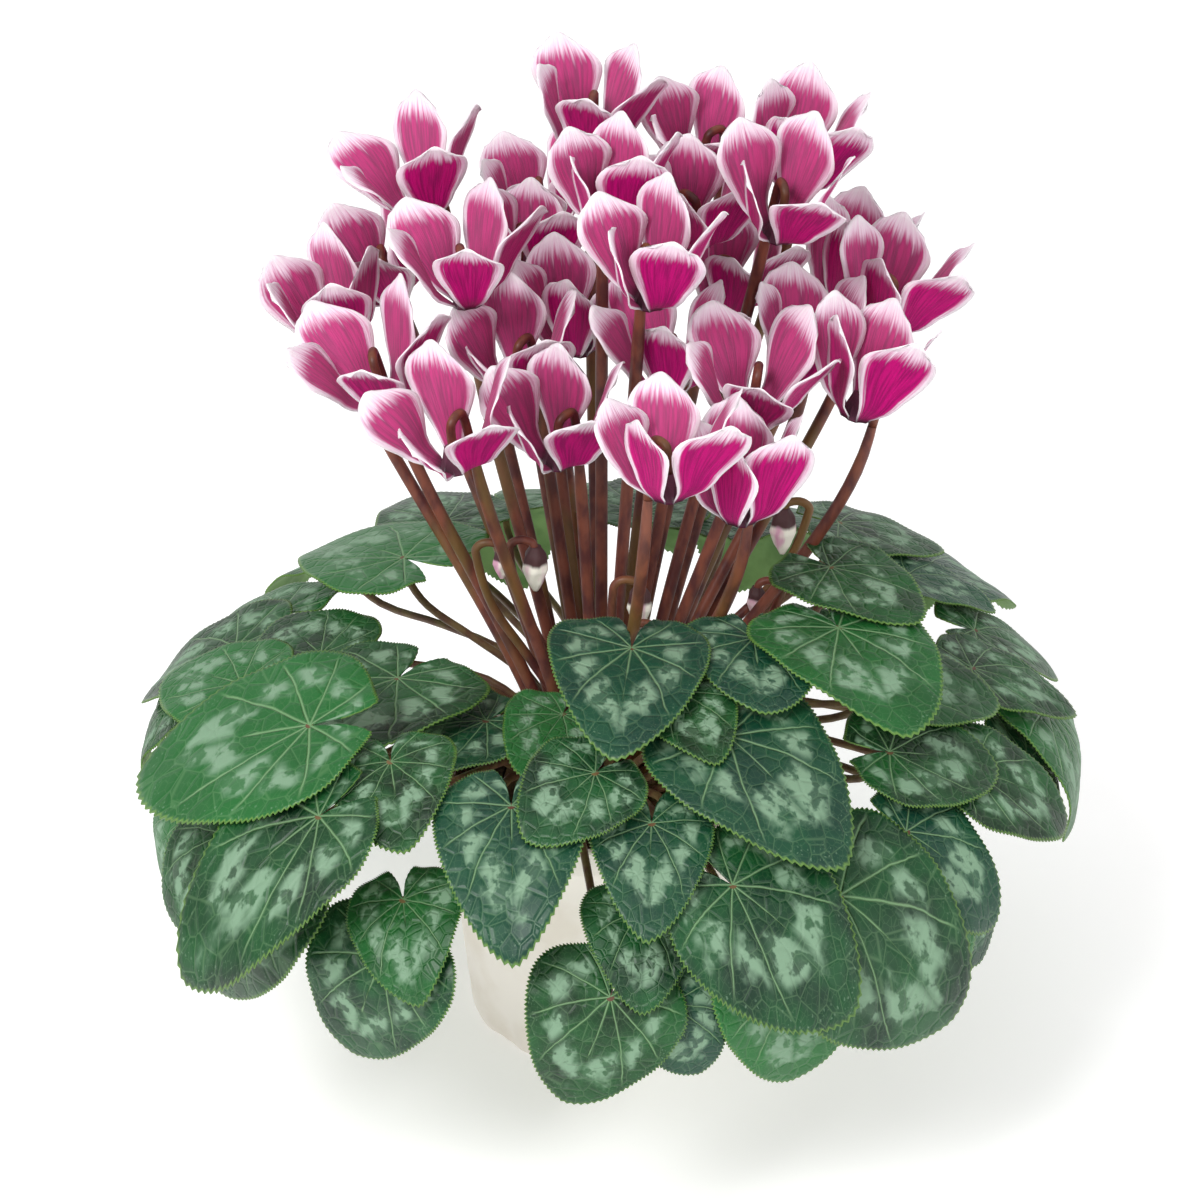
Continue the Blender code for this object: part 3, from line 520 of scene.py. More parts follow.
    def skins(self, rings: Rings, thickness: float = BLADE) -> tuple[list[Vector], list[Vector]]:
        """Upper and lower points of the blade.

        Args:
            rings: Share of the reach and number of rays of each ring.
            thickness: Distance between the two faces.

        Returns:
            The two lists of points.
        """
        along, aside = [0.0], [0.0]
        for part, rays in rings:
            angles = np.linspace(-RAY_SPREAD, RAY_SPREAD, rays)
            reach = self.reach(angles) * part
            along += list(reach * np.cos(angles))
            aside += list(reach * np.sin(angles))
        along, aside = np.array(along), np.array(aside)
        azimuth, arc = self.to_dome(along, aside)
        lift = self.lift + self.form(along, aside)
        top = [Vector(place) for place in DOME.point(azimuth, arc, lift + thickness / 2)]
        bottom = [Vector(place) for place in DOME.point(azimuth, arc, lift - thickness / 2)]
        return top, bottom

    def shape(self, rings: Rings = BLADE_RINGS, thickness: float = BLADE) -> Shape:
        """The blade alone as a closed sheet.

        Args:
            rings: Share of the reach and number of rays of each ring.
            thickness: Distance between the two faces.

        Returns:
            Points and faces.
        """
        return sheet_shape(*self.skins(rings, thickness), *self.faces_of(rings))

    def seat(self, depth: float) -> Vector:
        """A place on the stalk's line under the blade.

        Args:
            depth: How far under the blade.

        Returns:
            The place.
        """
        lift = self.lift + float(self.form(np.float64(0), np.float64(0)))
        return Vector(DOME.point(np.float64(self.azimuth), np.float64(self.arc), np.float64(lift - depth)))


def lift_needed(leaf: Leaf, placed: list[Leaf]) -> float:
    """How far a leaf stands off the dome to lie over the leaves already placed.

    Args:
        leaf: The leaf to lay.
        placed: Those that lie already.

    Returns:
        The lift.
    """
    leaf.lift = 0.0
    azimuth, arc = leaf.samples()
    own = leaf.height_at(azimuth, arc)
    needed = 0.0
    for other in placed:
        shared = other.covers(azimuth, arc, 1.5 * MM)
        if shared.any():
            needed = max(needed, float((other.height_at(azimuth, arc) + LAYER_GAP - own)[shared].max()))
    return needed


def stem_trees(blooms: list["Bloom"]) -> list[BVHTree]:
    """Search trees of the flower stalks and buds, a little thicker than they are.

    Args:
        blooms: The flowers, in place.

    Returns:
        A tree for each stalk and each bud.
    """
    trees = [tree_of([tube(bloom_stalk(bloom), [STALK_RADIUS + 0.3 * MM] * (STALK_STEPS + 1), 7)])
             for bloom in blooms]
    return trees + [tree_of(bud_shapes(*row)) for row in BUDS]


def stack_leaves(stems: list[BVHTree]) -> list[Leaf]:
    """Lays the leaves on the dome from the lowest up, each clear of those it covers and of the flower stalks.

    Args:
        stems: Trees of what the blades keep clear of.

    Returns:
        The leaves, in the order of LEAVES.
    """
    leaves = [Leaf(*row, seed=100 + index) for index, row in enumerate(LEAVES)]
    order = sorted(range(len(leaves)), key=lambda index: -leaves[index].arc)
    placed, laid = [], []
    while order:
        choice = order[0]
        for index in order:
            leaf = leaves[index]
            hides = [other for other in order if other != index
                     and leaf.covers(leaves[other].azimuth, leaves[other].arc, 3 * MM)]
            if not hides:
                choice = index
                break
        order.remove(choice)
        leaf = leaves[choice]
        for _ in range(12):
            leaf.lift = lift_needed(leaf, placed)
            blade = tree_of([leaf.shape(thickness=BLADE + 0.8 * MM)])
            while any(blade.overlap(tree) for tree in laid):
                leaf.lift += 0.5 * MM
                blade = tree_of([leaf.shape(thickness=BLADE + 0.8 * MM)])
            if not any(blade.overlap(tree) for tree in stems):
                break
            leaf.arc += 3 * MM
        placed.append(leaf)
        laid.append(blade)
    return leaves


class Bloom:
    """One nodding flower: five petals swept up round a short tube, and the hook that carries it."""

    def __init__(self, across: float, up: float, spread: float, turn: float, lean: float, seed: int) -> None:
        """Takes a row of BLOOMS and draws the rest.

        Args:
            across: Millimetres right of the pot's middle in the view.
            up: Millimetres up the picture.
            spread: How wide the petals stand, 0 to 1.
            turn: Degrees that the petal ring is turned.
            lean: Degrees to the right.
            seed: Of the random draw.
        """
        draw = random.Random(seed)
        self.across = across * MM
        self.up = up * MM
        self.spread = spread
        self.turn = math.radians(turn)
        self.lean = math.radians(lean)
        self.nod = math.radians(draw.uniform(-16, 4))
        self.twist = math.radians(draw.uniform(8, 22))
        self.length = draw.uniform(43, 50) * MM
        self.uneven = [draw.uniform(-1, 1) for _ in range(2 * PETALS)]
        self.frame = None

    def place(self, depth: float, turn: float, nudge: tuple[float, float]) -> None:
        """Sets the flower at a depth along the line of sight, nudged across and up, and turns its petals.

        Args:
            depth: Distance along the line of sight.
            turn: Turn of the petal ring.
            nudge: Millimetres across and up the picture.
        """
        up = self.up + nudge[1] * MM
        back = (up - 292 * MM) / 0.93
        height = (up - 0.5 * back) / math.cos(VIEW_ELEVATION)
        middle = Vector((self.across + nudge[0] * MM, back + depth * math.cos(VIEW_ELEVATION),
                         height - depth * math.sin(VIEW_ELEVATION)))
        axis = Matrix.Rotation(self.lean, 3, "Y") @ Matrix.Rotation(-self.nod, 3, "X")
        foot = middle - axis @ Vector((0, 0, 0.46 * self.length))
        self.frame = Matrix.Translation(foot) @ (axis @ Matrix.Rotation(self.turn + turn, 3, "Z")).to_4x4()

    def petal_point(self, index: int, row: float, column: float) -> Vector:
        """A place on a petal: row runs 0 to 1 from the mouth to the tip, column -1 to 1 across.

        Args:
            index: Which petal.
            row: 0 at the mouth to 1 at the tip.
            column: -1 to 1 across.

        Returns:
            The place in the flower's own frame.
        """
        own = self.spread + 0.16 * self.uneven[index]
        length = self.length * (1 + 0.06 * self.uneven[index + PETALS])
        out = TUBE_RADIUS + 5.5 * MM * smooth(0, 0.25, row) + own * 0.56 * length * row ** 1.35
        rise = -1.5 * MM * math.sin(math.pi * min(row / 0.3, 1)) + length * row * (1 - 0.16 * own * row)
        half = 2.3 * MM + 13.2 * MM * math.sin(math.pi * min(0.5, row * 0.66)) ** 1.25
        half *= math.sqrt(1 - 0.84 * (max(0, row - 0.62) / 0.38) ** 2)
        turned = self.twist * row + math.radians(16) * smooth(0, 0.2, row)
        cup = 0.20 * half * column ** 2 * math.cos(math.pi * row * 0.9)
        tip = -0.10 * length * row ** 3 * abs(column) ** 1.6
        side = column * half
        place = Vector((out + cup + side * math.sin(turned), side * math.cos(turned), rise + tip))
        return Matrix.Rotation(2 * math.pi * index / PETALS, 3, "Z") @ place

    def corolla(self, rows: tuple = PETAL_ROWS, columns: tuple = PETAL_COLUMNS, thickness: float = PETAL
                ) -> Shape:
        """The tube and its five petals as one closed sheet, from the crown of the tube down and out.

        Args:
            rows: Where the rows of points lie.
            columns: Where the columns lie.
            thickness: Of the petals.

        Returns:
            Points and faces.
        """
        wide = len(columns)
        points = []
        across, along = [], []
        for index in range(PETALS):
            angle = 2 * math.pi * index / PETALS
            radius = 0.62 * TUBE_RADIUS
            points.append(Vector((radius * math.cos(angle), radius * math.sin(angle), TUBE_HEIGHT)))
            across.append(Vector((-math.sin(angle), math.cos(angle), 0)))
            along.append(Vector((math.cos(angle), math.sin(angle), -0.9)))
        faces = [(0, index + 1, index) for index in range(1, PETALS - 1)]
        border = []
        per_petal = wide * len(rows)
        for index in range(PETALS):
            base = PETALS + index * per_petal
            grid = [[self.petal_point(index, row, column) for column in columns] for row in rows]
            for row in range(len(rows)):
                for column in range(wide):
                    after = grid[min(row + 1, len(rows) - 1)][column]
                    points.append(grid[row][column])
                    if row:
                        along.append((after - grid[row - 1][column]).normalized())
                    else:
                        along.append(Vector((grid[0][column].x, grid[0][column].y, 0)).normalized())
                    across.append(grid[row][min(column + 1, wide - 1)] - grid[row][max(column - 1, 0)])
            for column in range(wide - 1):
                faces.append((index, base + column + 1, base + column))
            following = (index + 1) % PETALS
            mouth = PETALS + following * per_petal
            faces += [(index, mouth, base + wide - 1), (index, following, mouth)]
            for row in range(len(rows) - 1):
                for column in range(wide - 1):
                    a = base + row * wide + column
                    faces += [(a, a + 1, a + wide + 1), (a, a + wide + 1, a + wide)]
            last = base + (len(rows) - 1) * wide
            border += [base + row * wide for row in range(len(rows))] + list(range(last + 1, last + wide))
            border += [base + row * wide + wide - 1 for row in range(len(rows) - 2, -1, -1)]
        top, bottom = [], []
        for place, side, way in zip(points, across, along):
            normal = side.cross(way).normalized() * thickness / 2
            top.append(self.frame @ (place + normal))
            bottom.append(self.frame @ (place - normal))
        return sheet_shape(top, bottom, faces, border)

    def hook_path(self) -> list[Vector]:
        """The carrying hook's middle line, from beside the mouth over to the top of the tube.

        Returns:
            The places of the line.
        """
        aside = 2 * HOOK_RADIUS
        side = Matrix.Rotation(HOOK_TURN, 3, "Z") @ Vector((1, 0, 0))
        path = [side * (aside + 0.3 * MM) + Vector((0, 0, -5 * MM)), side * aside + Vector((0, 0, 8 * MM))]
        for step in range(1, 4):
            angle = math.pi * step / 4
            path.append(side * (HOOK_RADIUS + HOOK_RADIUS * math.cos(angle))
                        + Vector((0, 0, 16 * MM + HOOK_RADIUS * math.sin(angle))))
        path.append(Vector((0, 0, TUBE_HEIGHT)))
        return [self.frame @ place for place in path]

    def stalk_top(self) -> tuple[Vector, Vector]:
        """Where the stalk ends under the hook, and its way there.

        Returns:
            The place and the direction.
        """
        path = self.hook_path()
        way = (path[1] - path[0]).normalized()
        return path[0] - way * CLEARANCE, way


def stalk_foot(place: Vector) -> Vector:
    """Where a stalk leaves the tuber, in the same order as the heads above.

    Args:
        place: The stalk's upper end.

    Returns:
        The place on the tuber.
    """
    return Vector((place.x * STALK_SPREAD, (place.y - 22 * MM) * STALK_SPREAD, TUBER_TOP - 3 * MM))


def bloom_stalk(bloom: Bloom, steps: int = STALK_STEPS) -> list[Vector]:
    """The middle line of a bloom's stalk.

    Args:
        bloom: The flower.
        steps: How many spans.

    Returns:
        The places of the line.
    """
    end, way = bloom.stalk_top()
    foot = stalk_foot(end)
    pull = (end - foot).length
    rise = Vector((end.x * 0.20, end.y * 0.20, pull * 0.34))
    neck = end - way * 5 * MM
    return bezier(foot, foot + rise, neck - way * pull * 0.28, neck, steps - 1) + [end]


def place_blooms() -> list[Bloom]:
    """Sets the blooms front to back, each moved along the line of sight or turned until it is clear.

    Returns:
        The flowers, in the order of BLOOMS.
    """
    blooms = [Bloom(*row, seed=500 + index) for index, row in enumerate(BLOOMS)]
    tries = [(nudge, depth, turn) for nudge in BLOOM_NUDGES for depth in BLOOM_DEPTHS for turn in BLOOM_TURNS]
    trees = []
    for bloom in sorted(blooms, key=lambda each: each.up):
        for nudge, depth, turn in tries:
            bloom.place(depth * MM, math.radians(turn), nudge)
            hook = bloom.hook_path()
            hook_shape = tube(hook, [HOOK_TUBE + 0.8 * MM] * len(hook), 4)
            head = tree_of([bloom.corolla(thickness=PETAL + 1.6 * MM), hook_shape])
            line = tree_of([tube(bloom_stalk(bloom)[1:], [STALK_RADIUS + 0.8 * MM] * STALK_STEPS, 5)])
            if not crosses_own(bloom) and not any(head.overlap(tree) or line.overlap(tree) for tree in trees):
                trees += [head, line]
                break
    return blooms


def crosses_own(bloom: Bloom) -> bool:
    """True where the stalk would touch the petals of its own bloom.

    Args:
        bloom: The flower, in place.

    Returns:
        Whether they touch.
    """
    petals = tree_of([bloom.corolla(thickness=2 * PETAL)])
    line = tree_of([tube(bloom_stalk(bloom), [STALK_RADIUS + 0.3 * MM] * (STALK_STEPS + 1), 5)])
    return bool(line.overlap(petals))


def bud_line(across: float, up: float, front: float, length: float) -> tuple[list[Vector], Vector]:
    """The middle line of a bud's stalk, and where the bud starts.

    Args:
        across: Millimetres right of the pot's middle.
        up: Millimetres up the picture.
        front: Millimetres towards the front.
        length: The bud's length in millimetres.

    Returns:
        The line and the place.
    """
    back = -front * MM
    height = (up * MM - 0.5 * back) / math.cos(VIEW_ELEVATION)
    top = Vector((across * MM, back, height + 0.5 * length * MM))
    foot = stalk_foot(Vector((top.x * 1.2, back * 1.4 + 22 * MM, 0)))
    side = Vector((6 * MM if across < 50 else -6 * MM, 0, 0))
    pull = (top - foot).length
    start, end = Vector((0, 0, pull * 0.4)), Vector((0, 0, pull * 0.3))
    path = bezier(foot, foot + start, top - side - end, top - side, 4)
    path += [top - side * 0.5 + Vector((0, 0, 4 * MM)), top + side * 0.5 + Vector((0, 0, 3.5 * MM)),
             top + side * 0.8]
    return path, top + side * 0.8 + Vector((0, 0, 1.5 * MM))


def bud_shapes(across: float, up: float, front: float, length: float) -> list[Shape]:
    """A bud on its own hooked stalk.

    Args:
        across: Millimetres right of the pot's middle.
        up: Millimetres up the picture.
        front: Millimetres towards the front.
        length: The bud's length in millimetres.

    Returns:
        The stalk and the bud.
    """
    path, start = bud_line(across, up, front, length)
    stalk = tube(path, [BUD_STALK_RADIUS] * 5 + [0.8 * BUD_STALK_RADIUS] * 3, 4)
    line = [start - Vector((0, 0, part * length * MM)) for _, part in BUD_LEVELS]
    body = tube(line, [share * 0.22 * length * MM + 0.6 * MM for share, _ in BUD_LEVELS], 6)
    return [stalk, body]


def leaf_stalk(leaf: Leaf, foot: Vector, sway: tuple[float, float], steps: int = LEAF_STALK_STEPS
               ) -> list[Vector]:
    """The middle line of a leaf's stalk, from its shoot to the blade.

    Args:
        leaf: The leaf, in place.
        foot: Where the stalk starts.
        sway: One of SWAYS.
        steps: How many spans.

    Returns:
        The places of the line.
    """
    end = leaf.seat(-0.75 * MM)
    below = leaf.seat(9 * MM)
    away = (end - foot).length
    out = Vector((math.sin(leaf.azimuth), -math.cos(leaf.azimuth), 0))
    aside = Vector((math.cos(leaf.azimuth), math.sin(leaf.azimuth), 0))
    start_pull = foot + out * away * (0.20 + 0.2 * sway[1]) + Vector((0, 0, away * 0.32)) + aside * sway[0] * MM
    end_pull = below + (below - end).normalized() * away * 0.20
    return bezier(foot, start_pull, end_pull, below, steps - 1) + [end]


def stalk_paths(pair: list[int], foot: Vector, leaves: list[Leaf], blade_trees: list[BVHTree],
                others: list[BVHTree]) -> list[list[Vector]] | None:
    """A clear middle line for the stalk of each leaf of a pair, or None.

    Args:
        pair: Which leaves.
        foot: Where their shoot stands.
        leaves: All leaves.
        blade_trees: A tree for each blade.
        others: Trees of what the stalks keep clear of.

    Returns:
        A line for each leaf, or None.
    """
    shoot = tree_of([tube([foot, foot + Vector((0, 0, SHOOT_HEIGHT))], [SHOOT_RADIUS + 0.5 * MM] * 2, 7)])
    if any(shoot.overlap(tree) for tree in others):
        return None
    paths = []
    for index in pair:
        for sway in SWAYS:
            path = leaf_stalk(leaves[index], foot + Vector((0, 0, 5 * MM)), sway)
            test = tree_of([tube(path, [LEAF_STALK_RADIUS + 0.8 * MM] * len(path), 7)])
            if any(test.overlap(tree) for tree in others):
                continue
            if not any(test.overlap(tree) for other, tree in enumerate(blade_trees) if other not in pair):
                paths.append(path)
                break
        else:
            return None
    return paths


def route_leaf_stalks(leaves: list[Leaf], stems: list[BVHTree], solids: list[BVHTree]) -> list[Route]:
    """Gives each pair of neighbouring leaves a shoot on the tuber and stalks that touch nothing else.

    Args:
        leaves: All leaves, in place.
        stems: Trees of the flower stalks and buds.
        solids: Trees of the tuber, pot and soil.

    Returns:
        The leaves, shoot and stalk lines of each spray.
    """
    blade_trees = [tree_of([leaf.shape()]) for leaf in leaves]
    others = stems + solids
    order = sorted(range(len(leaves)), key=lambda index: leaves[index].azimuth)
    pairs = [order[index:index + 2] for index in range(0, len(order), 2)]
    routes = []
    for number, both in enumerate(pairs):
        turn = 2 * math.pi * (number + 0.5) / len(pairs) - math.pi
        found = None
        for pair in (both, both[:1], both[1:]):
            for aside, out in SHOOT_MOVES:
                ring, angle = SHOOT_RING + out * MM, turn + aside
                foot = Vector((ring * math.sin(angle), -ring * math.cos(angle), TUBER_TOP + CLEARANCE))
                found = stalk_paths(pair, foot, leaves, blade_trees, others)
                if found:
                    break
            if found:
                routes.append((pair, foot, found))
                shapes = [tube(path, [LEAF_STALK_RADIUS + 0.5 * MM] * len(path), 6) for path in found]
                shoot = [foot, foot + Vector((0, 0, SHOOT_HEIGHT))]
                shapes.append(tube(shoot, [SHOOT_RADIUS + 0.5 * MM] * 2, 7))
                others.append(tree_of(shapes))
                break
    return routes


# Rings of points on a fine blade: share of the way to its outline, and how many points
FINE_RINGS = (
    (0.06, 16), (0.16, 31), (0.30, 61), (0.46, 61), (0.60, 121), (0.74, 121), (0.86, 121), (0.95, 241),
    (1.0, 241),
)
PETAL_FINE_ROWS = tuple(float(part) for part in np.linspace(0, 1, 17))
PETAL_FINE_COLUMNS = tuple(float(part) for part in np.linspace(-1, 1, 11))


Finishes = dict[Finish, bpy.types.Material]
Line = tuple[list[Vector], list[float]]
Feed = Socket | float | tuple[float, ...]


class Graph:
    """A material's node tree, put together one small node at a time."""

    def __init__(self, name: str) -> None:
        """Starts from a bare Principled material.

        Args:
            name: The material's name.
        """
        self.material = bpy.data.materials.new(name)
        self.material.use_nodes = True
        self.tree = self.material.node_tree
        self.shader = self.tree.nodes["Principled BSDF"]
        self.shader.inputs["Metallic"].default_value = 0.0

    def node(self, kind: str, **inputs: Feed) -> Node:
        """Adds a node and feeds its inputs.

        Args:
            kind: The node's type.
            inputs: A value or a socket for each input, by its name with _ for a space.

        Returns:
            The node.
        """
        made = self.tree.nodes.new(kind)
        for name, value in inputs.items():
            self.feed(made.inputs[name.replace("_", " ")], value)
        return made

    def feed(self, socket: Socket, value: Feed) -> None:
        """Links a socket into an input, or sets the input's value.

        Args:
            socket: The input.
            value: A socket or a plain value.
        """
        if isinstance(value, bpy.types.NodeSocket):
            self.tree.links.new(value, socket)
        else:
            socket.default_value = value

    def math(self, operation: str, *values: Feed) -> Socket:
        """One arithmetic step.

        Args:
            operation: Its name.
            values: Numbers or sockets.

        Returns:
            The result.
        """
        made = self.tree.nodes.new("ShaderNodeMath")
        made.operation = operation
        for socket, value in zip(made.inputs, values):
            self.feed(socket, value)
        return made.outputs[0]

    def step(self, value: Socket, low: float, high: float) -> Socket:
        """0 below low and 1 above high, smooth between.

        Args:
            value: What is measured.
            low: Where the step starts.
            high: Where it ends. Below low, it turns the step round.

        Returns:
            The share.
        """
        made = self.tree.nodes.new("ShaderNodeMapRange")
        made.interpolation_type = "SMOOTHSTEP"
        turned = high < low
        self.feed(made.inputs["Value"], value)
        made.inputs["From Min"].default_value = min(low, high)
        made.inputs["From Max"].default_value = max(low, high)
        made.inputs["To Min"].default_value = 1.0 if turned else 0.0
        made.inputs["To Max"].default_value = 0.0 if turned else 1.0
        return made.outputs["Result"]

    def mix(self, share: Feed, first: Feed, second: Feed) -> Socket:
        """Blends two colours.

        Args:
            share: How much of the second.
            first: A colour.
            second: A colour.

        Returns:
            The blend.
        """
        made = self.tree.nodes.new("ShaderNodeMix")
        made.data_type = "RGBA"
        self.feed(made.inputs[0], share)
        self.feed(made.inputs[6], first)
        self.feed(made.inputs[7], second)
        return made.outputs[2]

    def read(self, name: str) -> Socket:
        """A number stored on the mesh.

        Args:
            name: The attribute's name.

        Returns:
            Its value.
        """
        made = self.tree.nodes.new("ShaderNodeAttribute")
        made.attribute_name = name
        return made.outputs["Fac"]

    def place(self) -> Socket:
        """Object coordinates."""
        return self.tree.nodes.new("ShaderNodeTexCoord").outputs["Object"]

    def noise(self, vector: Socket, scale: float, detail: float = 3.0) -> Socket:
        """A noise between 0 and 1."""
        return self.node("ShaderNodeTexNoise", Vector=vector, Scale=scale, Detail=detail).outputs["Fac"]

    def bump(self, height: Socket, depth: float) -> None:
        """Raises the surface by a height pattern, in metres."""
        made = self.node("ShaderNodeBump", Height=height, Strength=1.0, Distance=depth)
        self.tree.links.new(made.outputs["Normal"], self.shader.inputs["Normal"])

    def times(self, first: Feed, second: Feed) -> Socket:
        """One number times the other."""
        return self.math("MULTIPLY", first, second)

    def plus(self, first: Feed, second: Feed) -> Socket:
        """The sum of two numbers."""
        return self.math("ADD", first, second)

    def minus(self, first: Feed, second: Feed) -> Socket:
        """One number less the other."""
        return self.math("SUBTRACT", first, second)

    def ridge(self, vector: Socket, scale: float) -> Socket:
        """Distance to the nearest wall of a net of cells.

        Args:
            vector: Where.
            scale: How many cells in a unit.

        Returns:
            The distance.
        """
        made = self.node("ShaderNodeTexVoronoi", Vector=vector, Scale=scale)
        made.feature = "DISTANCE_TO_EDGE"
        return made.outputs["Distance"]

    def flat(self, name: str) -> tuple[Socket, Socket]:
        """The two parts of a UV map.

        Args:
            name: The map's name.

        Returns:
            Its first and second part.
        """
        uv = self.node("ShaderNodeUVMap")
        uv.uv_map = name
        parts = self.node("ShaderNodeSeparateXYZ", Vector=uv.outputs["UV"])
        return parts.outputs["X"], parts.outputs["Y"]

    def done(self, colour: Feed, rough: Feed, specular: float = 0.5) -> bpy.types.Material:
        """Sets what the light sees.

        Args:
            colour: Base colour.
            rough: Roughness.
            specular: Strength of the highlights.

        Returns:
            The material.
        """
        self.feed(self.shader.inputs["Base Color"], colour)
        self.feed(self.shader.inputs["Roughness"], rough)
        self.shader.inputs["Specular IOR Level"].default_value = specular
        return self.material


def shade(code: str) -> tuple[float, float, float, float]:
    """A colour from six hexadecimal digits.

    Args:
        code: Two digits each for red, green and blue, as a screen shows them.

    Returns:
        Linear red, green, blue and 1.
    """
    parts = [int(code[index:index + 2], 16) / 255 for index in (0, 2, 4)]
    red, green, blue = [part / 12.92 if part <= 0.04045 else ((part + 0.055) / 1.055) ** 2.4 for part in parts]
    return red, green, blue, 1.0


@dataclass(frozen=True)
class LeafFinish:
    """Upper face of a leaf: dark green, netted veins, a broken silver ring, a pale toothed margin."""

    deep: str = "062710"
    mid: str = "124F20"
    blue: str = "0F4034"
    silver: str = "7C9C80"
    fresh: str = "1C6A2B"
    vein: str = "8DB482"
    margin: str = "6B9140"
    ring: tuple[float, float, float, float] = (0.40, 0.52, 0.66, 0.80)
    vein_angles: tuple[float, ...] = (0.0, 0.50, 1.05, 1.70, 2.40)
    vein_bend: float = 0.12
    vein_widths: tuple[float, float] = (0.013, 0.002)
    apart_widths: tuple[float, float] = (0.010, 0.075)
    tone_scale: float = 3.0
    wobble_scale: float = 5.0
    blotch_scale: float = 9.0
    net_cells: float = 9.0
    fine_cells: float = 24.0
    speck_cells: float = 46.0
    relief: float = 0.0007

    def make(self) -> bpy.types.Material:
        """Builds the material.

        Returns:
            The material.
        """
        graph = Graph(Finish.LEAF.value)
        along, aside = graph.flat("blade")
        edge, tone, seed = graph.read("edge"), graph.read("tone"), graph.read("seed")
        shifted = graph.node("ShaderNodeCombineXYZ", X=along, Y=aside, Z=seed).outputs["Vector"]
        wobble = graph.minus(graph.noise(shifted, self.wobble_scale), 0.5)
        from_vein = self.from_vein(graph, along, aside, edge, wobble)
        line = graph.times(graph.step(from_vein, *self.vein_widths), graph.step(edge, 0.99, 0.78))
        cells = graph.ridge(shifted, self.net_cells)
        net = graph.times(graph.step(cells, 0.045, 0.0), 0.28)
        fine = graph.times(graph.step(graph.ridge(shifted, self.fine_cells), 0.06, 0.0), 0.14)
        veins = graph.math("MAXIMUM", line, graph.math("MAXIMUM", net, fine))
        mottle = graph.step(graph.noise(shifted, self.tone_scale), 0.3, 0.7)
        base = graph.mix(mottle, shade(self.deep), shade(self.mid))
        band = self.silver_ring(graph, shifted, edge, wobble, from_vein)
        specks = graph.step(graph.ridge(shifted, self.speck_cells), 0.30, 0.42)
        speck = graph.times(specks, graph.step(edge, 0.80, 0.93))
        layers = (
            (graph.step(tone, 0.1, 1.0), 0.65, self.blue),
            (graph.step(tone, -0.2, -1.0), 0.75, self.fresh),
            (veins, 0.50, self.vein),
            (band, 0.88, self.silver),
            (speck, 0.35, self.silver),
            (graph.step(edge, 0.975, 0.999), 0.75, self.margin),
        )
        for share, strength, code in layers:
            base = graph.mix(graph.times(share, strength), base, shade(code))
        sunk = graph.math("MAXIMUM", line, graph.times(graph.step(cells, 0.16, 0.0), 0.4))
        graph.bump(graph.times(sunk, -1.0), self.relief)
        return graph.done(base, graph.plus(0.40, graph.times(band, 0.15)), 0.36)

    def from_vein(self, graph: Graph, along: Socket, aside: Socket, edge: Socket, wobble: Socket) -> Socket:
        """Distance to the nearest main vein, as a share of the blade's length.

        Args:
            graph: The tree.
            along: Place towards the tip.
            aside: Place across the midrib.
            edge: Share of the way to the outline.
            wobble: A noise round 0 that bends the veins.

        Returns:
            The distance.
        """
        far = graph.math("SQRT", graph.plus(graph.times(along, along), graph.times(aside, aside)))
        angle = graph.math("ABSOLUTE", graph.math("ARCTAN2", aside, along))
        angle = graph.plus(angle, graph.times(graph.times(edge, edge), self.vein_bend))
        angle = graph.plus(angle, graph.times(wobble, self.vein_bend))
        gaps = [graph.math("ABSOLUTE", graph.minus(angle, vein + 0.06 * bool(vein)))
                for vein in self.vein_angles]
        nearest = gaps[0]
        for gap in gaps[1:]:
            nearest = graph.math("MINIMUM", nearest, gap)
        return graph.times(nearest, far)

    def silver_ring(self, graph: Graph, shifted: Socket, edge: Socket, wobble: Socket,
                    from_vein: Socket) -> Socket:
        """The ring of silver blotches between the veins.

        Args:
            graph: The tree.
            shifted: Place on the blade, drawn apart for each leaf.
            edge: Share of the way to the outline.
            wobble: A noise round 0.
            from_vein: Distance to the nearest main vein.

        Returns:
            How silver, 0 to 1.
        """
        low, full, fade, end = self.ring
        ringed = graph.plus(edge, graph.times(wobble, 0.55))
        band = graph.times(graph.step(ringed, low, full), graph.step(ringed, end, fade))
        blotch = graph.step(graph.noise(shifted, self.blotch_scale, 6.0), 0.42, 0.50)
        band = graph.times(band, graph.plus(graph.times(blotch, 0.8), 0.2))
        apart = graph.step(from_vein, *self.apart_widths)
        return graph.times(band, graph.plus(0.12, graph.times(apart, 0.88)))


@dataclass(frozen=True)
class PlainFinish:
    """A finish of two mixed colours, with a grain and a small bump."""

    finish: Finish
    first: str
    second: str
    scale: float
    rough: float
    bump: float
    stretch: tuple[float, float, float] = (1.0, 1.0, 1.0)
    specular: float = 0.4
    patch: str = ""
    patch_stretch: tuple[float, float, float] = (1.0, 1.0, 0.12)
    patch_scale: float = 45.0
    patch_share: float = 0.75

    def make(self) -> bpy.types.Material:
        """Builds the material.

        Returns:
            The material.
        """
        graph = Graph(self.finish.value)
        mapped = graph.node("ShaderNodeMapping", Vector=graph.place(), Scale=self.stretch).outputs["Vector"]
        grain = graph.noise(mapped, self.scale, 4.0)
        colour = graph.mix(graph.step(grain, 0.35, 0.65), shade(self.first), shade(self.second))
        if self.patch:
            broad = graph.node("ShaderNodeMapping", Vector=graph.place(), Scale=self.patch_stretch)
            patches = graph.noise(broad.outputs["Vector"], self.patch_scale, 1.0)
            share = graph.times(graph.step(patches, 0.50, 0.66), self.patch_share)
            colour = graph.mix(share, colour, shade(self.patch))
        if self.bump:
            graph.bump(graph.noise(mapped, self.scale * 2.0, 5.0), self.bump)
        return graph.done(colour, self.rough, self.specular)


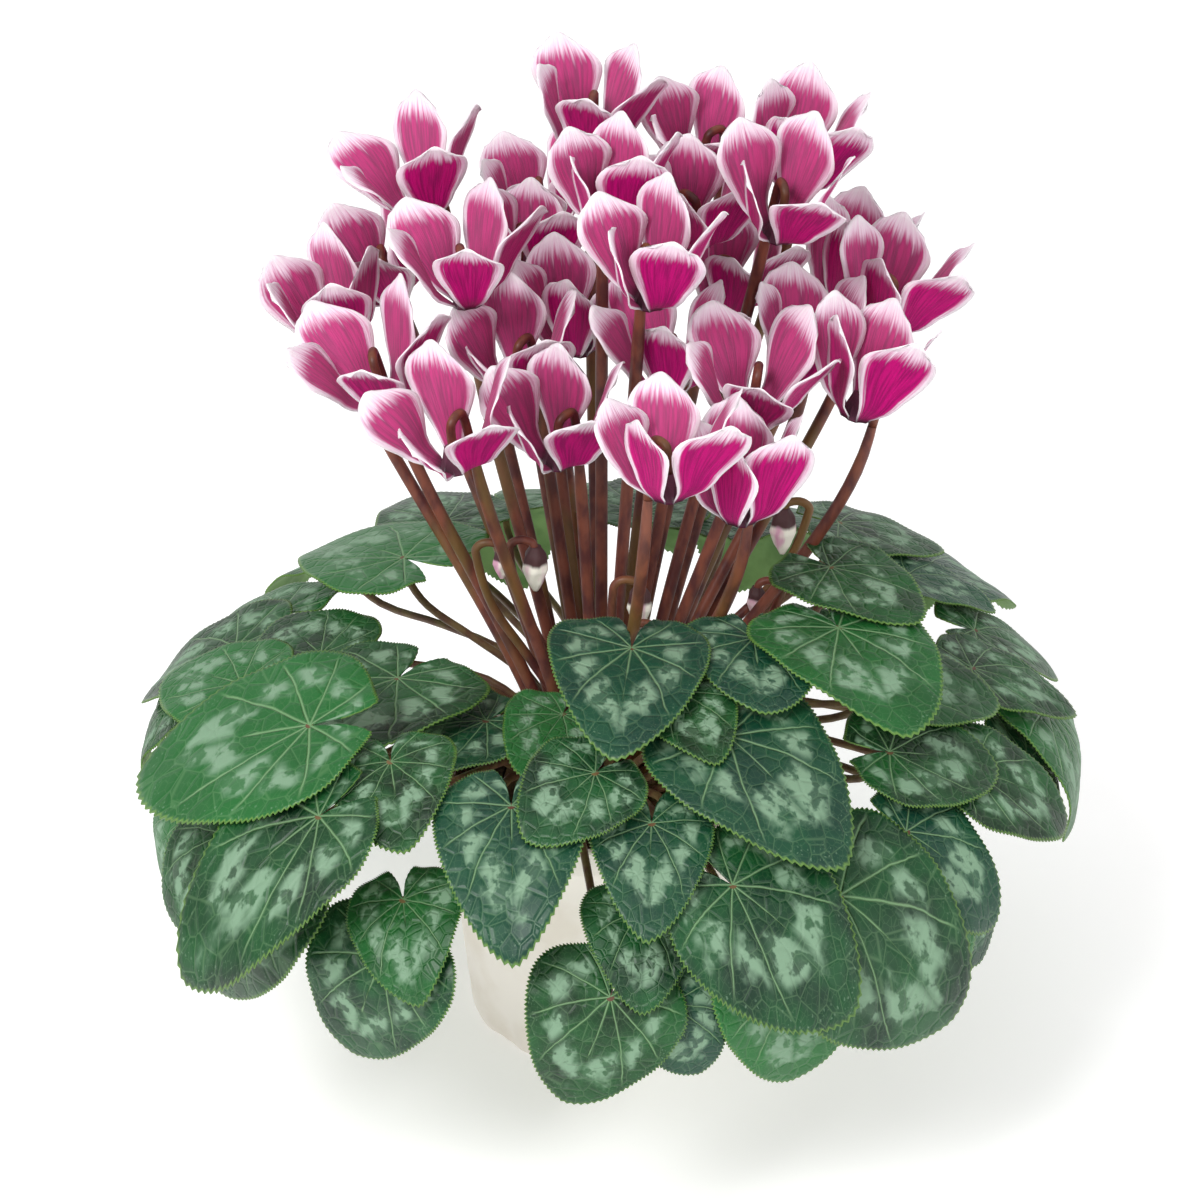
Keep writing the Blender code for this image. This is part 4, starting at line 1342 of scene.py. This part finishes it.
@dataclass(frozen=True)
class PetalFinish:
    """A petal: magenta middle, feathered pale margin, dark mouth."""

    finish: Finish
    heart: str = "BE0070"
    deep: str = "92005A"
    pale: str = "FAF3F7"
    lilac: str = "EDC6DF"
    mouth: str = "45082A"
    fade: float = 0.0
    margin: float = 0.36
    feather: float = 0.95
    streaks: float = 1.6
    relief: float = 0.0004

    def make(self) -> bpy.types.Material:
        """Builds the material.

        Returns:
            The material.
        """
        graph = Graph(self.finish.value)
        column, row = graph.flat("petal")
        seed = graph.read("seed")
        drawn = graph.node("ShaderNodeCombineXYZ", X=graph.times(column, 9.0), Y=graph.times(row, 1.6), Z=seed)
        drawn = drawn.outputs["Vector"]
        streak = graph.minus(graph.noise(drawn, self.streaks, 4.0), 0.5)
        side = graph.math("DIVIDE", graph.minus(1.0, graph.math("ABSOLUTE", column)), self.margin)
        tip = graph.math("DIVIDE", graph.minus(1.0, row), self.margin)
        inside = graph.math("SMOOTH_MIN", side, tip, 0.25)
        inside = graph.plus(inside, graph.times(streak, self.feather))
        core = graph.step(inside, 0.34, 0.82)
        body = graph.mix(graph.step(streak, -0.18, 0.16), shade(self.deep), shade(self.heart))
        rim = graph.mix(graph.step(inside, -0.1, 0.7), shade(self.pale), shade(self.lilac))
        colour = graph.mix(core, rim, body)
        colour = graph.mix(graph.times(graph.step(row, 0.14, 0.0), 0.85), colour, shade(self.mouth))
        if self.fade:
            colour = graph.mix(self.fade, colour, shade(self.pale))
        graph.bump(graph.noise(drawn, 2 * self.streaks, 3.0), self.relief)
        material = graph.done(colour, 0.60, 0.12)
        graph.shader.inputs["Sheen Weight"].default_value = 0.04
        graph.shader.inputs["Sheen Roughness"].default_value = 0.5
        return material


@dataclass(frozen=True)
class BudFinish:
    """A bud: brown-purple cap over cream and pink furled petals."""

    cap: str = "4A2E30"
    cream: str = "F3EFE2"
    pink: str = "D9A3BC"

    def make(self) -> bpy.types.Material:
        """Builds the material.

        Returns:
            The material.
        """
        graph = Graph(Finish.BUD.value)
        down = graph.read("down")
        drawn = graph.node("ShaderNodeMapping", Vector=graph.place(), Scale=(1.0, 1.0, 0.25)).outputs["Vector"]
        grain = graph.noise(drawn, 150.0)
        petal = graph.mix(graph.step(grain, 0.42, 0.62), shade(self.cream), shade(self.pink))
        ragged = graph.plus(down, graph.times(grain, 0.2))
        colour = graph.mix(graph.step(ragged, 0.50, 0.40), petal, shade(self.cap))
        return graph.done(colour, 0.55, 0.3)


def all_finishes() -> Finishes:
    """Every material by its finish.

    Returns:
        The materials.
    """
    plain = (
        PlainFinish(Finish.LEAF_UNDER, "54783F", "6F9355", 60.0, 0.6, 0.0002),
        PlainFinish(Finish.LEAF_STALK, "5A3A2A", "6E5A38", 130.0, 0.5, 0.0002),
        PlainFinish(Finish.STALK, "4F2422", "78402F", 160.0, 0.45, 0.0003, stretch=(1.0, 1.0, 0.45),
                    patch="6B5426"),
        PlainFinish(Finish.SOIL, "241913", "45321F", 300.0, 0.95, 0.0010),
        PlainFinish(Finish.CLAY, "EDE5DA", "F6F0E8", 40.0, 0.62, 0.0003),
        PlainFinish(Finish.TUBER, "4A3425", "6A4B34", 180.0, 0.85, 0.0010),
        PlainFinish(Finish.FLOOR, "F8F8F8", "F8F8F8", 5.0, 0.9, 0.0, specular=0.0),
    )
    made = {each.finish: each.make() for each in plain}
    glow = made[Finish.FLOOR].node_tree.nodes["Principled BSDF"]
    glow.inputs["Emission Color"].default_value = (1.0, 1.0, 1.0, 1.0)
    glow.inputs["Emission Strength"].default_value = 0.25
    made[Finish.BUD] = BudFinish().make()
    made[Finish.LEAF] = LeafFinish().make()
    made[Finish.PETAL] = PetalFinish(Finish.PETAL).make()
    made[Finish.PETAL_BACK] = PetalFinish(Finish.PETAL_BACK, fade=0.06).make()
    return made


def add_piece(name: str, points: np.ndarray | list[Vector], faces: list[Face],
              materials: list[bpy.types.Material], marks: list[int] | None = None) -> bpy.types.Object:
    """Puts a smooth mesh in the scene.

    Args:
        name: The piece's name.
        points: Its points.
        faces: Its faces.
        materials: Its material slots.
        marks: The slot of each face, if not all the first.

    Returns:
        The object.
    """
    mesh = bpy.data.meshes.new(name)
    mesh.from_pydata([tuple(point) for point in points], [], faces)
    for material in materials:
        mesh.materials.append(material)
    if marks:
        mesh.polygons.foreach_set("material_index", marks)
    mesh.polygons.foreach_set("use_smooth", [True] * len(mesh.polygons))
    piece = bpy.data.objects.new(name, mesh)
    bpy.context.scene.collection.objects.link(piece)
    return piece


def face_outwards(piece: bpy.types.Object) -> None:
    """Turns a closed mesh's faces outwards.

    Args:
        piece: The object.
    """
    form = bmesh.new()
    form.from_mesh(piece.data)
    bmesh.ops.recalc_face_normals(form, faces=form.faces)
    if form.calc_volume(signed=True) < 0:
        bmesh.ops.reverse_faces(form, faces=form.faces)
    form.to_mesh(piece.data)
    form.free()


def paint(piece: bpy.types.Object, name: str, values: list[float]) -> None:
    """Stores a number at each point of a piece."""
    piece.data.attributes.new(name, "FLOAT", "POINT").data.foreach_set("value", values)


def lay_uv(piece: bpy.types.Object, name: str, pairs: np.ndarray) -> None:
    """Gives each corner the UV of its point.

    Args:
        piece: The object.
        name: The UV map's name.
        pairs: Two numbers for each point.
    """
    corners = np.empty(len(piece.data.loops), np.int32)
    piece.data.loops.foreach_get("vertex_index", corners)
    layer = piece.data.uv_layers.new(name=name)
    layer.data.foreach_set("uv", pairs[corners].astype(np.float32).ravel())


def hand_over(piece: bpy.types.Object, nodes: list[str]) -> None:
    """Tells the frame what a piece rides on and stands for.

    Args:
        piece: The object.
        nodes: The solids that it stands for.
    """
    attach(piece, "root")
    if nodes:
        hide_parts(*nodes)
    LOG.info("%s: %d faces", piece.name, len(piece.data.polygons))


@dataclass
class Foliage:
    """The leaf blades, two to a piece as their stalks are."""

    teeth: float = 0.55 * MM
    toothed_from: float = 0.9
    wave: float = 0.5 * MM
    waves: int = 9
    thickness: float = 0.7 * MM
    groove: float = 0.35 * MM
    groove_width: float = 1.5 * MM
    first_seed: int = 900

    def outline(self, leaf: Leaf) -> tuple[np.ndarray, np.ndarray, np.ndarray]:
        """Places on the flat blade, ring by ring, with a toothed margin.

        Args:
            leaf: The leaf.

        Returns:
            Along, aside, and the share of the way to the outline.
        """
        along, aside, edge = [0.0], [0.0], [0.0]
        for part, rays in FINE_RINGS:
            angles = np.linspace(-RAY_SPREAD, RAY_SPREAD, rays)
            reach = leaf.reach(angles) * part
            if part > 0.94:
                tooth = self.teeth * (part - self.toothed_from) * 10
                reach = reach + tooth * np.where(np.arange(rays) % 2, 1.0, -1.0)
            along += list(reach * np.cos(angles))
            aside += list(reach * np.sin(angles))
            edge += [part] * rays
        return np.array(along), np.array(aside), np.array(edge)

    def blade(self, leaf: Leaf, faces: list[Face], border: list[int]) -> tuple:
        """One fine blade.

        Args:
            leaf: The leaf, in place.
            faces: Its upper faces.
            border: Its outline.

        Returns:
            Points, faces, the slot of each face, and each point's share of the way to the outline and UV.
        """
        along, aside, edge = self.outline(leaf)
        azimuth, arc = leaf.to_dome(along, aside)
        angle = np.arctan2(aside, along)
        ripple = self.wave * np.sin(self.waves * angle + leaf.phase) * smooth(0.6, 1.0, edge)
        rays_apart = np.min([np.abs(np.abs(angle) - vein) for vein in LeafFinish().vein_angles], axis=0)
        near_vein = np.exp(-(rays_apart * np.hypot(along, aside) / self.groove_width) ** 2)
        ripple -= self.groove * near_vein * smooth(1.0, 0.7, edge)
        lift = leaf.lift + leaf.form(along, aside) + ripple
        top = DOME.point(azimuth, arc, lift + self.thickness / 2)
        bottom = DOME.point(azimuth, arc, lift - self.thickness / 2)
        points, made = sheet_shape(list(top), list(bottom), faces, border)
        marks = [0] * len(faces) + [1] * len(faces) + [0] * (2 * len(border))
        uv = np.stack([along, aside], axis=1) / leaf.length
        return np.array(points), made, marks, np.tile(edge, 2), np.tile(uv, (2, 1))

    def build(self, routes: list[Route], leaves: list[Leaf], finishes: Finishes) -> None:
        """Makes a piece for each spray.

        Args:
            routes: Which leaves each spray carries.
            leaves: The leaves, in place.
            finishes: The materials.
        """
        faces, border = leaves[0].faces_of(FINE_RINGS)
        for number, (pair, _, _) in enumerate(routes):
            blades, made, tones, seeds = [], [], [], []
            for index in pair:
                draw = random.Random(self.first_seed + index)
                start = sum(len(blade[0]) for blade in blades)
                blades.append(self.blade(leaves[index], faces, border))
                made += [tuple(corner + start for corner in face) for face in blades[-1][1]]
                tones += [draw.uniform(-1, 1)] * len(blades[-1][0])
                seeds += [draw.uniform(0, 50)] * len(blades[-1][0])
            name = f"leaves_{number + 1:02d}"
            piece = add_piece(f"{name}_blades", np.concatenate([blade[0] for blade in blades]), made,
                              [finishes[Finish.LEAF], finishes[Finish.LEAF_UNDER]],
                              [mark for blade in blades for mark in blade[2]])
            paint(piece, "edge", list(np.concatenate([blade[3] for blade in blades])))
            paint(piece, "tone", tones)
            paint(piece, "seed", seeds)
            lay_uv(piece, "blade", np.concatenate([blade[4] for blade in blades]))
            face_outwards(piece)
            hand_over(piece, [name])


@dataclass
class Inflorescence:
    """The open flowers, each with the hook that carries it."""

    thickness: float = 0.55 * MM
    ruffle: float = 0.7 * MM
    ruffles: float = 13.0
    hook_sides: int = 12
    hook_steps: int = 5
    first_seed: int = 700

    def ruffled(self, shape: Shape, uv: list[tuple[float, float]], number: int) -> Shape:
        """A corolla whose petals wave towards their margins.

        Args:
            shape: The plain corolla.
            uv: Column and row of each upper point.
            number: Which flower.

        Returns:
            Points and faces.
        """
        points, faces = shape
        count = len(points) // 2
        per_petal = len(PETAL_FINE_ROWS) * len(PETAL_FINE_COLUMNS)
        for index in range(PETALS, count):
            column, row = uv[index]
            normal = (points[index] - points[index + count]).normalized()
            petal = (index - PETALS) // per_petal
            wave = self.ruffle * math.sin(self.ruffles * row + 5 * petal + number) * abs(column) ** 3 * row
            points[index] += normal * wave
            points[index + count] += normal * wave
        return points, faces

    def flower(self, bloom: Bloom, number: int, finishes: Finishes) -> bpy.types.Object:
        """One flower.

        Args:
            bloom: Its layout.
            number: Which flower.
            finishes: The materials.

        Returns:
            The piece.
        """
        draw = random.Random(self.first_seed + number)
        rows, columns = PETAL_FINE_ROWS, PETAL_FINE_COLUMNS
        petal = [(column, row) for row in rows for column in columns]
        uv = [(0.0, 0.0)] * PETALS + petal * PETALS
        points, faces = self.ruffled(bloom.corolla(rows, columns, self.thickness), uv, number)
        seeds = [0.0] * PETALS
        for _ in range(PETALS):
            seeds += [draw.uniform(0, 40)] * (len(rows) * len(columns))
        sheet = (len(faces) - 2 * PETALS * (2 * len(rows) + len(columns) - 2)) // 2
        marks = [0] * sheet + [1] * sheet + [0] * (len(faces) - 2 * sheet)
        path = smooth_line(bloom.hook_path(), self.hook_steps)
        hook_points, hook_faces = tube(path, [HOOK_TUBE] * len(path), self.hook_sides)
        faces = faces + [tuple(corner + len(points) for corner in face) for face in hook_faces]
        marks += [2] * len(hook_faces)
        uv = uv + uv + [(0.0, 0.0)] * len(hook_points)
        piece = add_piece(f"bloom_{number + 1:02d}_flower", points + hook_points, faces,
                          [finishes[Finish.PETAL], finishes[Finish.PETAL_BACK], finishes[Finish.STALK]], marks)
        paint(piece, "seed", seeds + seeds + [0.0] * len(hook_points))
        lay_uv(piece, "petal", np.array(uv))
        face_outwards(piece)
        return piece

    def build(self, blooms: list[Bloom], finishes: Finishes) -> None:
        """Makes a piece for each flower.

        Args:
            blooms: Their layout.
            finishes: The materials.
        """
        for number, bloom in enumerate(blooms):
            hand_over(self.flower(bloom, number, finishes), [f"bloom_{number + 1:02d}"])


def smooth_line(path: list[Vector], steps: int) -> list[Vector]:
    """A smooth curve through every place of a path.

    Args:
        path: Places in order.
        steps: Spans between two places.

    Returns:
        The places of the curve.
    """
    line = []
    for index in range(len(path) - 1):
        before, start = path[max(index - 1, 0)], path[index]
        end, after = path[index + 1], path[min(index + 2, len(path) - 1)]
        reach = (end - start).length / 3
        out = (end - before).normalized() * reach
        back = (after - start).normalized() * reach
        line += bezier(start, start + out, end - back, end, steps)[:-1]
    return line + [path[-1]]


def new_tree(name: str, inputs: dict[str, str]) -> bpy.types.NodeTree:
    """An empty Geometry Nodes tree with geometry in and out.

    Args:
        name: The tree's name.
        inputs: Its other inputs, by name, and the type of each.

    Returns:
        The tree.
    """
    tree = bpy.data.node_groups.new(name, "GeometryNodeTree")
    for label, kind in {"Geometry": "NodeSocketGeometry", **inputs}.items():
        tree.interface.new_socket(label, in_out="INPUT", socket_type=kind)
    tree.interface.new_socket("Geometry", in_out="OUTPUT", socket_type="NodeSocketGeometry")
    return tree


def end_tree(tree: bpy.types.NodeTree, last: Socket, material: bpy.types.Material) -> None:
    """Makes a tree's result real, dresses it and sends it out.

    Args:
        tree: The tree.
        last: The geometry so far.
        material: Its finish.
    """
    whole, dressed = tree.nodes.new("GeometryNodeRealizeInstances"), tree.nodes.new("GeometryNodeSetMaterial")
    dressed.inputs["Material"].default_value = material
    tree.links.new(last, whole.inputs["Geometry"])
    tree.links.new(whole.outputs["Geometry"], dressed.inputs["Geometry"])
    tree.links.new(dressed.outputs["Geometry"], tree.nodes.new("NodeGroupOutput").inputs["Geometry"])


@dataclass
class StalkBundle:
    """Stalks swept along their middle lines by Geometry Nodes."""

    name: str
    sides: int = 12

    def tree(self, material: bpy.types.Material) -> bpy.types.NodeTree:
        """A tree that sweeps a circle along each line, as thick as the line says.

        Args:
            material: The stalks' finish.

        Returns:
            The tree.
        """
        tree = new_tree(f"{self.name}_sweep", {"Sides": "NodeSocketInt"})
        new, link = tree.nodes.new, tree.links.new
        given, line = new("NodeGroupInput"), new("GeometryNodeMeshToCurve")
        thick, radius = new("GeometryNodeInputNamedAttribute"), new("GeometryNodeSetCurveRadius")
        circle, sweep = new("GeometryNodeCurvePrimitiveCircle"), new("GeometryNodeCurveToMesh")
        smoothed = new("GeometryNodeSetShadeSmooth")
        thick.inputs["Name"].default_value = "thick"
        circle.inputs["Radius"].default_value = 1.0
        sweep.inputs["Fill Caps"].default_value = True
        link(given.outputs["Geometry"], line.inputs["Mesh"])
        link(line.outputs["Curve"], radius.inputs["Curve"])
        link(thick.outputs["Attribute"], radius.inputs["Radius"])
        link(given.outputs["Sides"], circle.inputs["Resolution"])
        link(radius.outputs["Curve"], sweep.inputs["Curve"])
        link(circle.outputs["Curve"], sweep.inputs["Profile Curve"])
        if "Scale" in sweep.inputs:
            link(thick.outputs["Attribute"], sweep.inputs["Scale"])
        link(sweep.outputs["Mesh"], smoothed.inputs["Geometry"])
        end_tree(tree, smoothed.outputs["Geometry"], material)
        return tree

    def build(self, lines: list[Line], material: bpy.types.Material) -> bpy.types.Object:
        """Sweeps all the lines into one plain mesh.

        Args:
            lines: (places, radii) of each stalk.
            material: Its finish.

        Returns:
            The piece.
        """
        points, edges, radii = [], [], []
        for path, thick in lines:
            start = len(points)
            points += [tuple(place) for place in path]
            edges += [(start + index, start + index + 1) for index in range(len(path) - 1)]
            radii += list(thick)
        mesh = bpy.data.meshes.new(f"{self.name}_lines")
        mesh.from_pydata(points, edges, [])
        mesh.attributes.new("thick", "FLOAT", "POINT").data.foreach_set("value", radii)
        return bake_nodes(self.name, mesh, self.tree(material), {"Sides": self.sides})


def bake_nodes(name: str, mesh: bpy.types.Mesh, tree: bpy.types.NodeTree,
               values: dict[str, float]) -> bpy.types.Object:
    """Runs a Geometry Nodes tree on a mesh and keeps the plain result.

    Args:
        name: The piece's name.
        mesh: What the tree starts from.
        tree: The tree.
        values: Its named inputs.

    Returns:
        The piece, with no modifier left.
    """
    carrier = bpy.data.objects.new(f"{name}_carrier", mesh)
    bpy.context.scene.collection.objects.link(carrier)
    nodes = carrier.modifiers.new("nodes", "NODES")
    nodes.node_group = tree
    for item in tree.interface.items_tree:
        if item.in_out == "INPUT" and item.name in values:
            nodes[item.identifier] = values[item.name]
    bpy.context.view_layer.update()
    graph = bpy.context.evaluated_depsgraph_get()
    plain = bpy.data.meshes.new_from_object(carrier.evaluated_get(graph))
    bpy.data.objects.remove(carrier)
    plain.name = name
    piece = bpy.data.objects.new(name, plain)
    bpy.context.scene.collection.objects.link(piece)
    face_outwards(piece)
    return piece


@dataclass
class Buds:
    """The furled buds on their hooked stalks."""

    sides: int = 16
    rounds: int = 22
    furl: float = 2.4
    lobes: int = 5
    ridge: float = 0.07
    plump: float = 0.22
    least: float = 0.6 * MM

    def body(self, across: float, up: float, front: float, length: float) -> Shape:
        """One bud's outline, with furled petal edges winding round it.

        Args:
            across: Millimetres right of the pot's middle.
            up: Millimetres up the picture.
            front: Millimetres towards the front.
            length: The bud's length in millimetres.

        Returns:
            Points and faces.
        """
        _, crown = bud_line(across, up, front, length)
        wide = self.sides * 2
        levels, widths = [down for _, down in BUD_LEVELS], [share for share, _ in BUD_LEVELS]
        points, faces = [], []
        for ring in range(self.rounds + 1):
            part = ring / self.rounds
            radius = float(np.interp(part, levels, widths)) * self.plump * length * MM + self.least
            for side in range(wide):
                angle = math.pi * side / self.sides
                ridged = radius * (1 + self.ridge * math.sin(self.lobes * angle + self.furl * math.pi * part))
                points.append(crown + Vector((ridged * math.cos(angle), ridged * math.sin(angle),
                                              -part * length * MM)))
        for ring in range(self.rounds):
            for side in range(wide):
                a, b = ring * wide + side, ring * wide + (side + 1) % wide
                faces.append((a, a + wide, b + wide, b))
        faces.append(tuple(range(wide)))
        faces.append(tuple(self.rounds * wide + side for side in reversed(range(wide))))
        return points, faces

    def build(self, finishes: Finishes) -> None:
        """Makes one piece of all the buds.

        Args:
            finishes: The materials.
        """
        points, faces = [], []
        for row in BUDS:
            shape_points, shape_faces = self.body(*row)
            faces += [tuple(corner + len(points) for corner in face) for face in shape_faces]
            points += shape_points
        piece = add_piece("buds", points, faces, [finishes[Finish.BUD]])
        paint(piece, "down", [ring / self.rounds for _ in BUDS for ring in range(self.rounds + 1)
                              for _ in range(2 * self.sides)])
        face_outwards(piece)
        hand_over(piece, ["tuber_and_stalks"])


@dataclass
class Vessel:
    """The clay pot, the compost with its crumbs, and the tuber."""

    sides: int = 168
    tuber_sides: int = 48
    top_sides: int = 64
    crumbs: int = 1400
    crumb: float = 1.1 * MM
    seed: int = 7

    def pot(self, finishes: Finishes) -> None:
        """The pot, finer than its solid and with softened edges.

        Args:
            finishes: The materials.
        """
        rim, foot, height = POT_RIM_RADIUS, POT_FOOT_RADIUS, POT_HEIGHT
        profile = [(0, 0), (foot - 1.6 * MM, 0), (foot + 0.2 * MM, 1.2 * MM), (foot + 1.3 * MM, 4 * MM),
                   (foot + 2.2 * MM, 11 * MM), (foot + 2.5 * MM, 18 * MM)]
        for step in range(1, 9):
            part = step / 9
            out, up = (rim - foot - 4.5 * MM) * part, (height - 33 * MM) * part
            profile.append((foot + 2.5 * MM + out, 18 * MM + up))
        profile += [(rim - 2 * MM, height - 15 * MM), (rim - 0.4 * MM, height - 13 * MM),
                    (rim, height - 11 * MM),
                    (rim, height - 1.2 * MM), (rim - 0.4 * MM, height - 0.3 * MM), (rim - 1.2 * MM, height),
                    (rim - POT_WALL + 1.2 * MM, height), (rim - POT_WALL, height - 1.2 * MM),
                    (foot - POT_WALL, POT_FLOOR), (0, POT_FLOOR)]
        points, faces = turned_solid(profile, self.sides)
        for place in points:
            radius = math.hypot(place.x, place.y)
            if radius > foot - 0.5 * MM and 0.5 * MM < place.z < 30 * MM:
                angle = math.atan2(place.y, place.x)
                fading = 1 - float(smooth(9 * MM, 28 * MM, place.z))
                lump = LUMP_DEPTH * (math.sin(FOOT_LUMPS * angle) + 0.5 * math.sin(17 * angle + 1)) * fading
                place.x += lump * math.cos(angle)
                place.y += lump * math.sin(angle)
        piece = add_piece("pot_body", points, faces, [finishes[Finish.CLAY]])
        face_outwards(piece)
        hand_over(piece, ["pot"])

    def tuber(self, finishes: Finishes) -> None:
        """The tuber.

        Args:
            finishes: The materials.
        """
        points, faces = turned_solid(TUBER_PROFILE, self.tuber_sides)
        piece = add_piece("tuber", points, faces, [finishes[Finish.TUBER]])
        face_outwards(piece)
        hand_over(piece, ["tuber_and_stalks"])

    def crumb_tree(self, material: bpy.types.Material) -> bpy.types.NodeTree:
        """A tree that strews crumbs on a surface.

        Args:
            material: The crumbs' finish.

        Returns:
            The tree.
        """
        tree = new_tree("crumbs_strewn", {"Density": "NodeSocketFloat", "Crumb": "NodeSocketFloat",
                                          "Seed": "NodeSocketInt"})
        new, link = tree.nodes.new, tree.links.new
        given, strewn = new("NodeGroupInput"), new("GeometryNodeDistributePointsOnFaces")
        ball, size = new("GeometryNodeMeshIcoSphere"), new("FunctionNodeRandomValue")
        put = new("GeometryNodeInstanceOnPoints")
        ball.inputs["Subdivisions"].default_value = 1
        size.inputs[2].default_value = 0.5
        size.inputs[3].default_value = 1.4
        link(given.outputs["Geometry"], strewn.inputs["Mesh"])
        link(given.outputs["Density"], strewn.inputs["Density"])
        link(given.outputs["Seed"], strewn.inputs["Seed"])
        link(given.outputs["Crumb"], ball.inputs["Radius"])
        link(strewn.outputs["Points"], put.inputs["Points"])
        link(ball.outputs["Mesh"], put.inputs["Instance"])
        link(size.outputs[1], put.inputs["Scale"])
        end_tree(tree, put.outputs["Instances"], material)
        return tree

    def soil(self, finishes: Finishes) -> None:
        """Compost finish on the solid, and crumbs strewn on it.

        Args:
            finishes: The materials.
        """
        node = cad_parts["soil"]
        node.data.materials.clear()
        node.data.materials.append(finishes[Finish.SOIL])
        inner, outer = TUBER_RADIUS + 1.5 * MM, POT_RIM_RADIUS - POT_WALL - 3 * MM
        points, faces = [], []
        for side in range(self.top_sides):
            angle = 2 * math.pi * side / self.top_sides
            for radius in (inner, outer):
                points.append((radius * math.cos(angle), radius * math.sin(angle), SOIL_TOP + 0.3 * MM))
            a, b = 2 * side, 2 * ((side + 1) % self.top_sides)
            faces.append((a, a + 1, b + 1, b))
        mesh = bpy.data.meshes.new("compost_top")
        mesh.from_pydata(points, [], faces)
        density = self.crumbs / (math.pi * (outer ** 2 - inner ** 2))
        values = {"Density": density, "Crumb": self.crumb, "Seed": self.seed}
        hand_over(bake_nodes("soil_crumbs", mesh, self.crumb_tree(finishes[Finish.SOIL]), values), [])


@dataclass
class Studio:
    """Floor, lights, world and camera."""

    target: tuple[float, float, float] = (-0.0005, 0.0, 0.201)
    distance: float = 1.55
    lens: float = 110.7
    floor: float = 6.0
    world: float = 0.8

    def lamp(self, name: str, place: tuple[float, float, float], size: float, power: float) -> None:
        """A soft square light that looks at the plant.

        Args:
            name: The light's name.
            place: Where it stands.
            size: Its side.
            power: In watts.
        """
        data = bpy.data.lights.new(name, "AREA")
        data.shape = "SQUARE"
        data.size = size
        data.energy = power
        lamp = bpy.data.objects.new(name, data)
        lamp.location = place
        lamp.rotation_euler = (Vector(self.target) - Vector(place)).to_track_quat("-Z", "Y").to_euler()
        bpy.context.scene.collection.objects.link(lamp)

    def build(self, finishes: Finishes) -> None:
        """Sets the stage.

        Args:
            finishes: The materials.
        """
        half = self.floor / 2
        corners = np.array([(-half, -half, 0), (half, -half, 0), (half, half, 0), (-half, half, 0)])
        floor = add_piece("floor", corners, [(0, 1, 2, 3)], [finishes[Finish.FLOOR]])
        world = bpy.data.worlds.new("studio")
        world.use_nodes = True
        backdrop = world.node_tree.nodes["Background"]
        backdrop.inputs["Color"].default_value = (1.0, 1.0, 1.0, 1.0)
        backdrop.inputs["Strength"].default_value = self.world
        bpy.context.scene.world = world
        self.lamp("key", (-0.8, -1.2, 1.6), 0.7, 24.0)
        self.lamp("fill", (1.3, -1.0, 0.9), 1.2, 5.0)
        data = bpy.data.cameras.new("camera")
        data.sensor_width = 36.0
        data.lens = self.lens
        camera = bpy.data.objects.new("camera", data)
        away = Vector((0, -math.cos(VIEW_ELEVATION), math.sin(VIEW_ELEVATION))) * self.distance
        camera.location = Vector(self.target) + away
        camera.rotation_euler = (-away).to_track_quat("-Z", "Y").to_euler()
        bpy.context.scene.collection.objects.link(camera)
        bpy.context.scene.camera = camera
        bpy.context.scene.view_settings.view_transform = "Standard"


def node_shape(name: str) -> Shape:
    """A CAD node's mesh as points and faces."""
    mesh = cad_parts[name].data
    return [vert.co.copy() for vert in mesh.vertices], [tuple(face.vertices) for face in mesh.polygons]


def flower_lines(blooms: list[Bloom]) -> list[Line]:
    """Middle lines and radii of the flower stalks and the bud stalks.

    Args:
        blooms: The flowers, in place.

    Returns:
        A line for each stalk.
    """
    lines = []
    for bloom in blooms:
        path = bloom_stalk(bloom, 22)
        lines.append((path, [STALK_RADIUS] * (len(path) - 4) + list(np.linspace(STALK_RADIUS, HOOK_TUBE, 4))))
    for row in BUDS:
        path = smooth_line(bud_line(*row)[0], 5)
        lines.append((path, list(np.linspace(BUD_STALK_RADIUS, 0.8 * BUD_STALK_RADIUS, len(path)))))
    return lines


def leaf_lines(routes: list[Route], leaves: list[Leaf]) -> list[Line]:
    """Middle lines and radii of the shoots and the leaf stalks.

    Args:
        routes: Leaves, shoot and stalk lines of each spray.
        leaves: The leaves, in place.

    Returns:
        A line for each shoot and each stalk.
    """
    lines = []
    for pair, foot, paths in routes:
        lines.append(([foot, foot + Vector((0, 0, SHOOT_HEIGHT))], [SHOOT_RADIUS, SHOOT_RADIUS * 0.8]))
        for index, path in zip(pair, paths):
            fine = smooth_line(path[:-1] + [leaves[index].seat(0.0)], 4)
            lines.append((fine, [LEAF_STALK_RADIUS] * len(fine)))
    return lines


def main() -> None:
    """Lays out the plant as its solids lie, builds each piece and sets the stage."""
    logging.basicConfig(level=logging.INFO, format="%(name)s %(message)s")
    finishes = all_finishes()
    blooms = place_blooms()
    stems = stem_trees(blooms)
    leaves = stack_leaves(stems)
    solids = [turned_solid(TUBER_PROFILE, TUBER_SIDES), node_shape("pot"), node_shape("soil")]
    routes = route_leaf_stalks(leaves, stems, [tree_of([shape]) for shape in solids])
    LOG.info("laid out %d leaves in %d sprays", sum(len(pair) for pair, _, _ in routes), len(routes))
    Foliage().build(routes, leaves, finishes)
    Inflorescence().build(blooms, finishes)
    Buds().build(finishes)
    stalks = StalkBundle("flower_stalks").build(flower_lines(blooms), finishes[Finish.STALK])
    hand_over(stalks, ["tuber_and_stalks"])
    sprays = [f"leaves_{number + 1:02d}" for number in range(len(routes))]
    stalks = StalkBundle("leaf_stalks", 9).build(leaf_lines(routes, leaves), finishes[Finish.LEAF_STALK])
    hand_over(stalks, sprays)
    vessel = Vessel()
    vessel.pot(finishes)
    vessel.tuber(finishes)
    vessel.soil(finishes)
    Studio().build(finishes)


if __name__ == "__main__":
    main()
